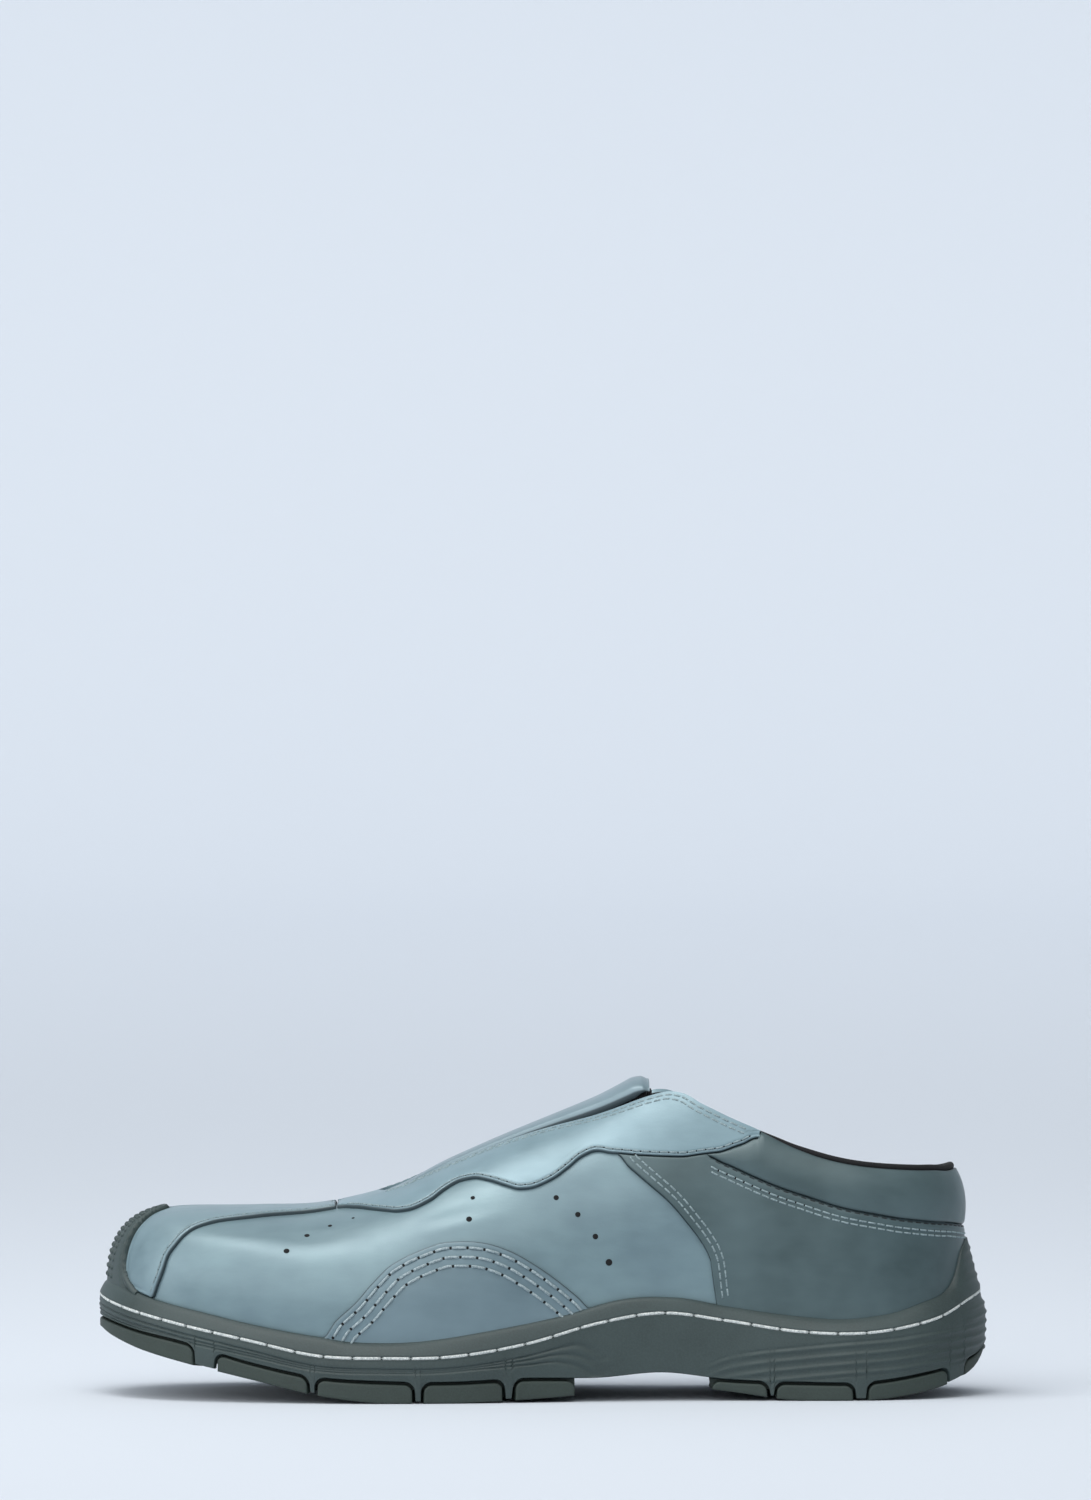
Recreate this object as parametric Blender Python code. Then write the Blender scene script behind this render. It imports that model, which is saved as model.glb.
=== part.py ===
# Left slip-on shoe: cemented cup sole, leather upper with sewn overlays, strap over an elastic gore.
# Frame: toe towards -X, heel towards +X, lateral side -Y, medial side +Y, floor at z = 0.
# Every piece follows one surface, the last: a station runs round the feather line (0 toe, 16 heel,
# lateral side first), and a way runs from the feather line (0) up to the crest line (1).

import bpy
import bmesh
import math
from mathutils import Vector

for old in list(bpy.data.objects):
    bpy.data.objects.remove(old, do_unlink=True)

# Driving sizes in metres
SOLE_LENGTH = 0.300
BALL_WIDTH = 0.093
INSTEP_RISE = 0.0932
SEAT_HEIGHT = 0.020
SOLE_FLARE = 0.006
GAP = 0.0003
SEAM_GAP = 0.0004
OVERLAY_GAP = 0.0004
UPPER_WALL = 0.002
OVERLAY_WALL = 0.0012
COLLAR_PADDING = 0.0012
STRAP_RISE = 0.0036
GORE_WALL = 0.0010
INSOLE_THICKNESS = 0.0033
LIP_WIDTH = 0.0019
LIP_DROP = 0.0003
BUMPER_WALL = 0.0019
GROOVE_DEPTH = 0.0009
GROOVE_HALF_HEIGHT = 0.0009
RIB_DEPTH = 0.0005
TREAD_PLATE = 0.0025
TREAD_INSET = 0.0042
LUG_DEPTH = 0.0150
LUG_GROOVE = 0.0006
LUG_INSET = 0.0003
UNDER_BEVEL = 0.0011
BRIDGE_ROOT = 0.0012
BAR_RISE = 0.0005
BAR_OVERLAP = 0.0030
BRIDGE_DEPTH = 0.0034
BRIDGE_CLEARANCE = 0.0007

# The last, a row per section: x and crest x are shares of SOLE_LENGTH, the two half widths are
# shares of BALL_WIDTH, the crest rise is a share of INSTEP_RISE and the feather of SEAT_HEIGHT.
LAST_COLUMNS = ("x", "lateral", "medial", "crest_x", "crest", "feather", "fullness", "bulge")
LAST = {
    "toe apex": (-0.4817, -0.032, 0.032, -0.3733, 0.448, 1.350, 3.3, 0.02),
    "toe corner": (-0.4683, 0.161, 0.226, -0.3700, 0.448, 1.300, 3.2, 0.03),
    "toe side": (-0.4367, 0.306, 0.349, -0.3633, 0.448, 1.180, 3.0, 0.04),
    "toe cap": (-0.3867, 0.409, 0.430, -0.3467, 0.448, 1.000, 2.8, 0.06),
    "vamp front": (-0.3200, 0.478, 0.473, -0.3133, 0.450, 0.790, 2.7, 0.08),
    "ball front": (-0.2467, 0.516, 0.489, -0.2467, 0.459, 0.630, 2.6, 0.09),
    "ball": (-0.1733, 0.527, 0.473, -0.1733, 0.513, 0.575, 2.6, 0.09),
    "ball rear": (-0.1000, 0.511, 0.435, -0.1000, 0.617, 0.590, 2.6, 0.08),
    "joint": (-0.0200, 0.473, 0.392, -0.0200, 0.725, 0.690, 2.6, 0.07),
    "waist front": (0.0600, 0.430, 0.360, 0.0600, 0.815, 0.850, 2.6, 0.06),
    "waist": (0.1333, 0.398, 0.344, 0.1333, 0.933, 0.960, 2.6, 0.06),
    "waist rear": (0.2067, 0.376, 0.344, 0.2067, 0.998, 0.990, 2.6, 0.07),
    "heel front": (0.2867, 0.366, 0.349, 0.2867, 0.939, 0.990, 2.6, 0.08),
    "heel seat": (0.3600, 0.349, 0.339, 0.3367, 0.901, 1.000, 2.6, 0.08),
    "counter": (0.4233, 0.269, 0.263, 0.3433, 0.923, 1.015, 2.6, 0.07),
    "heel corner": (0.4600, 0.134, 0.134, 0.3467, 0.955, 1.030, 2.6, 0.06),
    "heel back": (0.4707, 0.000, 0.000, 0.3467, 0.976, 1.035, 2.6, 0.05),
}

# The sole at the same sections: three heights as shares of SEAT_HEIGHT, the flare and the tuck of
# the stitch line as shares of SOLE_FLARE, and how deep the side ribs are cut there.
SOLE_COLUMNS = ("stitch", "under", "ground", "flare", "tuck", "rib")
SOLE = {
    "toe apex": (1.675, 1.325, 1.125, 0.767, 0.05, 0.6),
    "toe corner": (1.595, 1.280, 1.020, 0.833, 0.05, 1.0),
    "toe side": (1.450, 1.150, 0.830, 0.917, 0.05, 1.0),
    "toe cap": (1.260, 0.980, 0.625, 0.967, 0.05, 1.0),
    "vamp front": (1.040, 0.680, 0.390, 1.000, 0.05, 1.0),
    "ball front": (0.800, 0.445, 0.130, 1.000, 0.05, 1.0),
    "ball": (0.760, 0.375, 0.000, 1.000, 0.05, 1.0),
    "ball rear": (0.785, 0.360, 0.000, 0.967, 0.05, 1.0),
    "joint": (0.980, 0.410, 0.050, 0.867, 0.05, 1.0),
    "waist front": (1.310, 0.400, 0.140, 0.767, 0.04, 0.3),
    "waist": (1.475, 0.480, 0.270, 0.750, 0.04, 0.0),
    "waist rear": (1.340, 0.360, 0.160, 0.833, 0.04, 0.4),
    "heel front": (1.160, 0.315, 0.000, 1.000, 0.05, 1.0),
    "heel seat": (1.135, 0.315, 0.000, 1.100, 0.10, 1.0),
    "counter": (1.315, 0.470, 0.150, 1.200, 0.20, 1.0),
    "heel corner": (1.625, 0.675, 0.425, 1.333, 0.30, 1.0),
    "heel back": (1.740, 0.875, 0.750, 1.433, 0.33, 1.0),
}
HEEL = len(LAST) - 1
ROUND = 2 * HEEL

# Seams on the last, a row per point: station, then way
RIM = (
    (0.0, 0.100), (1.4, 0.103), (2.25, 0.092), (3.0, 0.092), (4.0, 0.083), (5.0, 0.074), (5.5, 0.062),
    (6.5, 0.055), (7.5, 0.060), (8.5, 0.066), (9.3, 0.076), (10.2, 0.063), (11.0, 0.043), (12.0, 0.030),
    (12.6, 0.026), (13.3, 0.032), (14.0, 0.050), (14.4, 0.060), (14.7, 0.076), (14.95, 0.106),
    (15.15, 0.140), (15.5, 0.160), (16.0, 0.168),
)
BUMPER = (
    (0.0, 0.860), (0.35, 0.845), (0.65, 0.800), (0.85, 0.690), (1.0, 0.580), (1.08, 0.480),
    (1.15, 0.360), (1.22, 0.200), (1.32, 0.110),
)
TOE_SEAM = (
    (2.12, 0.095), (2.25, 0.169), (2.35, 0.262), (2.4, 0.359), (2.5, 0.438), (2.6, 0.522), (2.75, 0.605),
    (2.95, 0.661), (3.25, 0.718), (3.8, 0.774), (4.75, 0.852), (5.25, 0.870),
)
WING_SEAM = (
    (5.05, 0.082), (5.25, 0.133), (5.55, 0.202), (5.8, 0.276), (6.1, 0.345), (6.45, 0.372), (6.8, 0.379),
    (7.15, 0.359), (7.45, 0.329), (7.8, 0.276), (8.15, 0.212), (8.5, 0.146), (8.75, 0.100), (8.95, 0.078),
)
SADDLE_SEAM = (
    (5.25, 0.868), (5.55, 0.808), (5.75, 0.751), (6.0, 0.688), (6.2, 0.645), (6.45, 0.622), (6.7, 0.632),
    (6.9, 0.665), (7.1, 0.685), (7.3, 0.668), (7.5, 0.618), (7.75, 0.548), (7.95, 0.505), (8.15, 0.492),
    (8.4, 0.505), (8.65, 0.542), (8.8, 0.570), (8.95, 0.578), (9.25, 0.532), (9.7, 0.468), (10.05, 0.435),
    (10.45, 0.412), (10.85, 0.409), (11.2, 0.435), (11.45, 0.468),
)
TOPLINE = (
    (5.88, 1.000), (6.0, 0.930), (6.3, 0.900), (7.0, 0.888), (7.5, 0.882), (8.0, 0.862), (8.5, 0.842),
    (9.0, 0.806), (9.5, 0.765), (9.85, 0.742), (10.1, 0.726), (10.35, 0.681), (10.65, 0.598), (11.1, 0.525),
    (11.5, 0.494), (11.75, 0.478), (12.0, 0.465), (12.5, 0.446), (13.1, 0.431), (13.9, 0.404),
    (14.5, 0.388), (15.0, 0.374), (16.0, 0.366),
)
QUARTER_SEAM = (
    (9.3, 0.505), (9.5, 0.445), (9.8, 0.359), (10.15, 0.279), (10.4, 0.219), (10.6, 0.173), (10.75, 0.129),
    (10.85, 0.055),
)
COLLAR_SEAM = (
    (10.65, 0.402), (10.95, 0.372), (11.3, 0.343), (11.65, 0.323), (12.05, 0.306), (12.6, 0.282),
    (13.1, 0.266), (13.7, 0.242), (14.6, 0.218), (16.0, 0.196),
)
# How far the medial collar sits below the lateral one, as a way
MEDIAL_DROP = (
    (9.85, 0.0), (10.35, 0.040), (11.2, 0.046), (12.1, 0.052), (13.1, 0.048), (13.7, 0.040), (14.4, 0.022),
    (15.2, 0.006), (16.0, 0.0),
)
STRAP_EDGE = ((6.05, 0.955), (7.0, 0.930), (8.0, 0.905), (9.0, 0.860), (9.8, 0.820))
# Height of the strap over the last, as a share of STRAP_RISE
STRAP_TOP = ((6.05, 0.2), (7.0, 0.52), (8.0, 0.62), (9.0, 1.0), (9.6, 1.0), (9.75, 0.72), (9.83, 0.20))
STRAP_BOTTOM = ((6.05, 1.0), (9.6, 1.0), (9.75, 0.7), (9.83, 0.15))

TOE_PANEL_END = 5.235
SADDLE_START = 5.257
SADDLE_END = 11.45
TREAD_FRONT_END = 8.70
TREAD_HEEL_START = 10.75
LUGS_FRONT = ((3.50, 4.85), (5.00, 6.40), (6.57, 7.68), (7.86, 8.68))
LUGS_HEEL = ((10.77, 11.55), (11.68, 12.78), (13.00, 14.30))
TOE_LUG_END = 3.10
HEEL_LUG_START = 14.75
BRIDGES = ((3.12, 3.48), (4.87, 4.98), (6.42, 6.55), (7.70, 7.84), (11.57, 11.66), (12.80, 12.98), (14.32, 14.73))
BARS_FRONT = ((1.7, 2.3), (3.95, 4.4), (5.45, 5.95), (6.60, 7.00), (7.95, 8.40))
BARS_HEEL = ((10.95, 11.35), (12.10, 12.90), (13.60, 14.10))

# Stations where a piece has an edge of its mesh
TOE_STEPS = (0.0, 0.35, 0.65, 0.85, 1.0, 1.08, 1.15, 1.22, 1.32, 1.6, 1.9, 2.12, 2.25, 2.4, 2.5, 2.75, 3.0)
VAMP_STEPS = (3.5, 4.0, 4.5, 5.0)
SIDE_STEPS = (
    5.5, 5.75, 5.88, 6.0, 6.2, 6.45, 6.7, 6.9, 7.1, 7.3, 7.5, 7.75, 8.0, 8.25, 8.5, 8.75, 9.0, 9.3, 9.5,
    9.75, 10.0, 10.25, 10.5, 10.75, 10.85, 11.0, 11.25,
)
BACK_STEPS = (11.45, 11.75, 12.0, 12.5, 13.0, 13.5, 14.0, 14.33, 14.67, 15.0, 15.33, 15.67, 16.0)
UPPER_STEPS = tuple(k / 2 for k in range(12)) + (5.88,) + tuple(k / 2 for k in range(12, 33))
SOLE_STEPS = (
    (0.0, 0.35, 0.65, 0.85, 1.08, 1.22, 1.6, 1.9, 2.25, 2.5, 2.75, 3.0) + VAMP_STEPS
    + tuple(k / 2 for k in range(11, 23)) + BACK_STEPS[1:]
)


def blend(table, columns, name, station):
    # Catmull-Rom curve through the rows of a closed table; each side has its own half width
    values = []
    low = math.floor(station)
    part = station - low
    for k in (low - 1, low, low + 1, low + 2):
        k = k % ROUND
        row = list(table.values())[k if k <= HEEL else ROUND - k]
        if name == "y":
            values.append(-row[columns.index("lateral")] if k <= HEEL else row[columns.index("medial")])
        else:
            values.append(row[columns.index(name)])
    a, b, c, d = values
    bend = 2 * a - 5 * b + 4 * c - d
    rest = 3 * b - 3 * c + d - a
    return b + 0.5 * part * (c - a + part * (bend + part * rest))


def last_value(name, station):
    return blend(LAST, LAST_COLUMNS, name, station)


def sole_value(name, station):
    return blend(SOLE, SOLE_COLUMNS, name, station)


def along(table, station):
    # Smooth monotone curve through a seam's rows, the same on both sides
    station = abs((station + HEEL) % ROUND - HEEL)
    if station <= table[0][0]:
        return table[0][1]
    if station >= table[-1][0]:
        return table[-1][1]
    k = 0
    while table[k + 1][0] < station:
        k += 1
    slopes = []
    for j in (k, k + 1):
        if j == 0 or j == len(table) - 1:
            slopes.append(0.0)
            continue
        before = (table[j][1] - table[j - 1][1]) / (table[j][0] - table[j - 1][0])
        after = (table[j + 1][1] - table[j][1]) / (table[j + 1][0] - table[j][0])
        slopes.append(0.0 if before * after <= 0 else 2 * before * after / (before + after))
    width = table[k + 1][0] - table[k][0]
    t = (station - table[k][0]) / width
    start = table[k][1] * (1 + 2 * t) * (1 - t) ** 2 + slopes[0] * width * t * (1 - t) ** 2
    end = table[k + 1][1] * (3 - 2 * t) * t ** 2 + slopes[1] * width * (t - 1) * t ** 2
    return start + end


def feather(station):
    x = last_value("x", station) * SOLE_LENGTH
    y = last_value("y", station) * BALL_WIDTH
    return Vector((x, y, last_value("feather", station) * SEAT_HEIGHT))


def crest(station):
    z = SEAT_HEIGHT + last_value("crest", station) * INSTEP_RISE
    return Vector((last_value("crest_x", station) * SOLE_LENGTH, 0.0, z))


def settled(station, way):
    # ways of the medial side sink towards its collar; the lateral side keeps them
    if station % ROUND <= HEEL:
        return way
    ramp = min(max((way - 0.08) / 0.32, 0.0), 1.0)
    return way - along(MEDIAL_DROP, station) * ramp * ramp * (3 - 2 * ramp)


def last_point(station, way):
    way = settled(station, way)
    foot = feather(station)
    top = crest(station)
    angle = min(max(way, 1e-6), 1.0) * math.pi / 2
    power = 2 / last_value("fullness", station)
    out = 0.0
    if way < 1.0:
        out = math.cos(angle) ** power * (1 + last_value("bulge", station) * math.sin(2 * angle))
    up = math.sin(angle) ** power
    return Vector((top.x + (foot.x - top.x) * out, foot.y * out, foot.z + (top.z - foot.z) * up))


def last_normal(station, way):
    if way > 0.999:
        # both sides share one direction along the crest line
        return (last_normal(station, 0.985) + last_normal(ROUND - station, 0.985)).normalized()
    step = 0.002
    way = min(max(way, step), 1 - step)
    around = last_point(station + step, way) - last_point(station - step, way)
    upward = last_point(station, way + step) - last_point(station, way - step)
    return around.cross(upward).normalized()


def skin(station, way, out):
    return last_point(station, way) + last_normal(station, way) * out


def girth(station):
    return 1.2 * (crest(station) - feather(station)).length


def margin(station):
    # half of the gap at a seam, as a way
    return 0.5 * SEAM_GAP / girth(station)


def edge(station, out, z):
    # point of the sole's outline: the feather line moved outward in plan
    step = 0.01
    run = feather(station + step) - feather(station - step)
    outward = Vector((run.y, -run.x, 0.0)).normalized()
    foot = feather(station)
    return Vector((foot.x + outward.x * out, foot.y + outward.y * out, z))


def height(name, station):
    return max(sole_value(name, station), 0.0) * SEAT_HEIGHT


def flare(station):
    return sole_value("flare", station) * SOLE_FLARE


def both_sides(steps):
    # stations from the far end of the medial side round the toe to the lateral side
    return [-s for s in reversed(steps) if s > 0] + list(steps)


def round_heel(steps):
    # stations down the lateral side, round the heel and back up the medial side
    return list(steps) + [ROUND - s for s in reversed(steps) if s < HEEL]


def leather(name, colour, roughness):
    material = bpy.data.materials.new(name)
    material.use_nodes = True
    shader = material.node_tree.nodes["Principled BSDF"]
    shader.inputs["Base Color"].default_value = (*colour, 1.0)
    shader.inputs["Roughness"].default_value = roughness
    shader.inputs["Metallic"].default_value = 0.0
    return material


def finish(bm, name, colour, roughness):
    bmesh.ops.remove_doubles(bm, verts=bm.verts, dist=1e-6)
    bmesh.ops.dissolve_degenerate(bm, edges=bm.edges, dist=1e-7)
    bmesh.ops.triangulate(bm, faces=bm.faces)
    bmesh.ops.recalc_face_normals(bm, faces=bm.faces)
    mesh = bpy.data.meshes.new(name)
    bm.to_mesh(mesh)
    bm.free()
    mesh.shade_smooth()
    mesh.set_sharp_from_angle(angle=math.radians(35))
    thing = bpy.data.objects.new(name, mesh)
    bpy.context.scene.collection.objects.link(thing)
    mesh.materials.append(leather(name + "_finish", colour, roughness))
    return thing


def grid(columns, rows):
    # flat sheet whose x is the column number and y the row number
    bm = bmesh.new()
    bmesh.ops.create_grid(bm, x_segments=columns, y_segments=rows, size=0.5)
    for vert in bm.verts:
        vert.co.x = round((vert.co.x + 0.5) * columns)
        vert.co.y = round((vert.co.y + 0.5) * rows)
    return bm


def slab(columns, rows):
    # the same sheet with a second layer at z = 1 and walls between the layers
    bm = grid(columns, rows)
    made = bmesh.ops.extrude_face_region(bm, geom=bm.faces[:], use_keep_orig=True)
    for item in made["geom"]:
        if isinstance(item, bmesh.types.BMVert):
            item.co.z = 1.0
    return bm


def drop_walls(bm, test):
    # removes walls of a slab whose corners all pass the test
    doomed = [face for face in bm.faces if all(test(vert.co) for vert in face.verts)]
    bmesh.ops.delete(bm, geom=doomed, context="FACES_ONLY")
    loose = [item for item in bm.edges if not item.link_faces]
    bmesh.ops.delete(bm, geom=loose, context="EDGES")


def shell(stations, low, high, inner, outer, rows, closed=False):
    # piece of the last's surface between two seams; it joins the other side where it reaches the crest
    columns = len(stations) - 1
    bm = slab(columns, rows)
    crested = [high(s) > 0.999 for s in stations]
    drop_walls(bm, lambda co: co.y == rows and crested[int(co.x)])
    if closed:
        drop_walls(bm, lambda co: co.x == 0)
        drop_walls(bm, lambda co: co.x == columns)
    for vert in bm.verts:
        station = stations[int(vert.co.x)]
        share = vert.co.y / rows
        way = low(station) + (high(station) - low(station)) * share
        out = outer(station, share) if vert.co.z > 0.5 else inner(station, share)
        vert.co = skin(station, way, out)
    return bm


def rings(stations, profile, closed):
    # closed solid from a profile of points at each station; its first and last points lie on a spine
    count = len(profile(stations[0]))
    bm = grid(len(stations) - 1, count - 1)
    points = [profile(s) for s in stations]
    for vert in bm.verts:
        vert.co = points[int(vert.co.x)][int(vert.co.y)]
    bmesh.ops.remove_doubles(bm, verts=bm.verts, dist=1e-6)
    if not closed:
        ends = [item for item in bm.edges if len(item.link_faces) == 1]
        bmesh.ops.holes_fill(bm, edges=ends, sides=0)
    return bm


def middle(points):
    # centre line point between the two sides of an outline
    return (points[0] + points[1]) / 2


def fuse(thing, others):
    # Boolean union of overlapping closed solids into the first one
    for other in others:
        joint = thing.modifiers.new("fuse", "BOOLEAN")
        joint.operation = "UNION"
        joint.solver = "EXACT"
        joint.object = other
    bpy.context.view_layer.update()
    whole = thing.evaluated_get(bpy.context.evaluated_depsgraph_get())
    mesh = bpy.data.meshes.new_from_object(whole)
    thing.modifiers.clear()
    thing.data = mesh
    for other in others:
        bpy.data.objects.remove(other, do_unlink=True)


# Upper: one hollow wall, open under the foot, at the throat and at the collar
def upper():
    stations = round_heel(UPPER_STEPS)
    bm = shell(
        stations,
        lambda s: 0.0,
        lambda s: along(TOPLINE, s),
        lambda s, t: -UPPER_WALL,
        lambda s, t: 0.0,
        8,
        closed=True,
    )
    return finish(bm, "upper", (0.18, 0.24, 0.27), 0.45)


# Overlays: leather sewn on the outside of the upper
def overlay(name, stations, low, high, rows, colour, padding=0.0):
    bm = shell(
        stations,
        lambda s: low(s) + margin(s),
        lambda s: high(s) - (0 if high(s) > 0.999 else margin(s)),
        lambda s, t: OVERLAY_GAP,
        lambda s, t: OVERLAY_GAP + OVERLAY_WALL + padding * math.sin(math.pi * t),
        rows,
    )
    return finish(bm, name, colour, 0.45)


def toe_panel_low(station):
    if abs(station) > 2.12:
        return along(TOE_SEAM, station)
    if abs(station) < 1.32:
        return max(along(BUMPER, station), along(RIM, station))
    return along(RIM, station)


def saddle_low(station):
    return along(SADDLE_SEAM, station)


def under_saddle(station):
    place = abs((station + HEEL) % ROUND - HEEL)
    return saddle_low(station) if place < SADDLE_END + 0.001 else along(TOPLINE, station)


def quarter_low(station):
    place = abs((station + HEEL) % ROUND - HEEL)
    return along(QUARTER_SEAM, station) if place < 10.85 else along(RIM, station)


def quarter_high(station):
    place = abs((station + HEEL) % ROUND - HEEL)
    return saddle_low(station) if place < 10.75 else min(saddle_low(station), along(COLLAR_SEAM, station))


def collar_high(station):
    # the band's edge stays under the lining, which stands proud of it round the heel
    lining = 0.012 * min(max((abs((station + HEEL) % ROUND - HEEL) - 11.45) / 0.8, 0.0), 1.0)
    return under_saddle(station) - lining


def overlays():
    toe_stations = both_sides(TOE_STEPS + VAMP_STEPS + (TOE_PANEL_END,))
    overlay("toe_panel", toe_stations, toe_panel_low, lambda s: 1.0, 7, (0.20, 0.27, 0.30))
    saddle()
    wing_steps = (5.08, 5.25, 5.5, 5.75, 6.0, 6.2, 6.45, 6.7, 6.9, 7.1, 7.3, 7.5, 7.75, 8.0, 8.25, 8.5, 8.75, 8.92)
    lateral = list(wing_steps)
    medial = [ROUND - s for s in reversed(wing_steps)]
    for side, stations in (("lateral", lateral), ("medial", medial)):
        low = lambda s: along(RIM, s)
        high = lambda s: along(WING_SEAM, s)
        overlay("wing_" + side, stations, low, high, 3, (0.16, 0.22, 0.26))
    back = tuple(s for s in SIDE_STEPS + BACK_STEPS if s > 9.4)
    overlay("quarter", round_heel((9.36,) + back), quarter_low, quarter_high, 4, (0.09, 0.13, 0.15))
    band = tuple(s for s in SIDE_STEPS + BACK_STEPS if s > 10.8)
    collar_low = lambda s: along(COLLAR_SEAM, s)
    before = tuple(s for s in band if s <= SADDLE_END)
    behind = tuple(s for s in band if s > SADDLE_END)
    stations = round_heel((10.75,) + before + (SADDLE_END + 0.025,) + behind)
    overlay("collar_band", stations, collar_low, collar_high, 4, (0.08, 0.12, 0.14), COLLAR_PADDING)


# Saddle: both legs of the eyestay, joined over the vamp in front of the throat
def saddle():
    steps = (SADDLE_START,) + SIDE_STEPS + (SADDLE_END,)
    halves = []
    for stations in (list(steps), [ROUND - s for s in reversed(steps)]):
        high = lambda s: along(TOPLINE, s)
        halves.append(shell(
            stations,
            lambda s: saddle_low(s) + margin(s),
            lambda s: high(s) - (0 if high(s) > 0.999 else margin(s)),
            lambda s, t: OVERLAY_GAP,
            lambda s, t: OVERLAY_GAP + OVERLAY_WALL,
            4,
        ))
    spare = bpy.data.meshes.new("saddle_half")
    halves[1].to_mesh(spare)
    halves[1].free()
    halves[0].from_mesh(spare)
    bpy.data.meshes.remove(spare)
    return finish(halves[0], "saddle", (0.22, 0.29, 0.33), 0.42)


# Strap and gore: sheets that cross the crest line inside the throat
def crossing(stations, edge_way, inner, outer, rows):
    columns = len(stations) - 1
    bm = slab(columns, rows)
    for vert in bm.verts:
        station = stations[int(vert.co.x)]
        across = 2 * vert.co.y / rows - 1
        way = 1 - (1 - edge_way(station)) * abs(across)
        side = station if across <= 0 else ROUND - station
        out = outer(station, across) if vert.co.z > 0.5 else inner(station, across)
        vert.co = skin(side, way, out)
    return bm


def strap():
    stations = (6.05, 6.25, 6.5, 7.0, 7.5, 8.0, 8.5, 9.0, 9.4, 9.6, 9.75, 9.83)

    def top(station, across):
        return along(STRAP_TOP, station) * STRAP_RISE * (1 - 0.35 * across ** 4)

    def bottom(station, across):
        return -(UPPER_WALL + GAP) * along(STRAP_BOTTOM, station)

    bm = crossing(stations, lambda s: along(STRAP_EDGE, s), bottom, top, 6)
    return finish(bm, "strap", (0.17, 0.23, 0.26), 0.42)


def gore():
    stations = (5.7, 5.95, 6.25, 6.5, 7.0, 7.5, 8.0, 8.5, 9.0, 9.4, 9.6, 9.8)
    top = -UPPER_WALL - 2 * GAP
    bm = crossing(
        stations,
        lambda s: min(along(TOPLINE, s), 0.93) - 0.035,
        lambda s, t: top - GORE_WALL,
        lambda s, t: top,
        6,
    )
    return finish(bm, "gore", (0.012, 0.013, 0.014), 0.85)


def steps_between(start, end, count):
    return [start + (end - start) * k / count for k in range(count + 1)]


def row_finder(out):
    # which station's cross line of an outline passes a given x; the sole is ruled across there
    rows = []
    for station in steps_between(0.0, float(HEEL), 8 * HEEL):
        pair = [edge(s, out(s), 0.0).x for s in (station, ROUND - station)]
        rows.append(((pair[0] + pair[1]) / 2, station))

    def find(x):
        for (x0, s0), (x1, s1) in zip(rows, rows[1:]):
            if x <= x1:
                return s0 + (s1 - s0) * min(max((x - x0) / (x1 - x0), 0.0), 1.0)
        return rows[-1][1]

    return find


floor_row = row_finder(lambda s: GAP)
under_row = row_finder(lambda s: flare(s) - UNDER_BEVEL)


def seated(station, out, rise):
    # point of the sole's outline at a height over the floor of the cup
    point = edge(station, out, 0.0)
    point.z = feather(floor_row(point.x)).z + rise
    return point


def hung(station, out, name, rise):
    # point of the sole's outline at a height over its underside or over the ground line
    point = edge(station, out, 0.0)
    point.z = height(name, under_row(point.x)) + rise
    return point


# Insole: a board on the floor of the cup, inside the upper's wall
def insole():
    inset = UPPER_WALL + 2 * GAP

    def profile(station):
        pair = (station, ROUND - station)
        top = [seated(s, -inset, INSOLE_THICKNESS) for s in pair]
        bottom = [seated(s, -inset, 0.0) for s in pair]
        return [middle(top), top[0], bottom[0], middle(bottom)]

    bm = rings(round_heel(UPPER_STEPS), profile, True)
    return finish(bm, "insole", (0.03, 0.03, 0.032), 0.8)


# Midsole: the cup, its stitched rim, ribbed side, toe bumper and heel spur
def side_profile(station):
    foot = feather(station)
    rim = along(RIM, station)
    lip_in = skin(station, rim, GAP)
    lip_out = skin(station, rim, GAP + LIP_WIDTH) - Vector((0, 0, LIP_DROP))
    wide = flare(station)
    line = wide - sole_value("tuck", station) * SOLE_FLARE
    stitch = height("stitch", station)
    under = height("under", station)
    below = stitch - GROOVE_HALF_HEIGHT
    drop = below - under
    rib = RIB_DEPTH * min(max(sole_value("rib", station), 0.0), 1.0)
    band = edge(station, 0.5 * (LIP_WIDTH + line), 0.45 * stitch + 0.55 * lip_in.z)
    points = [
        edge(station, GAP, foot.z - GAP),
        skin(station, 0.5 * rim, GAP),
        lip_in,
        lip_out,
        band,
        edge(station, line, stitch + GROOVE_HALF_HEIGHT),
        edge(station, line - GROOVE_DEPTH, stitch),
        edge(station, line, below),
    ]
    for share, cut in ((0.28, rib), (0.40, 0.0), (0.52, rib), (0.64, 0.0), (0.76, rib)):
        points.append(edge(station, wide - cut, below - share * drop))
    points.append(edge(station, wide - 0.3 * UNDER_BEVEL, under + 0.7 * UNDER_BEVEL))
    points.append(edge(station, wide - UNDER_BEVEL, under))
    return points


def cup_profile(station):
    points = side_profile(station)
    other = side_profile(ROUND - station)
    return [middle((points[0], other[0]))] + points + [middle((points[-1], other[-1]))]


def block(stations, inner, outer, bottom_rise, top_rise, rows=1):
    # block that follows the sole's outline, between two insets, from the ground line to the underside
    bm = slab(len(stations) - 1, rows)
    for vert in bm.verts:
        station = stations[int(vert.co.x)]
        out = flare(station) - inner + (inner - outer) * vert.co.y / rows
        name, rise = ("under", top_rise) if vert.co.z > 0.5 else ("ground", bottom_rise)
        vert.co = hung(station, out, name, rise)
    return bm


def sides(spans):
    # the same spans of stations on the lateral and the medial side
    return [span for pair in spans for span in (pair, (ROUND - pair[1], ROUND - pair[0]))]


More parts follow.
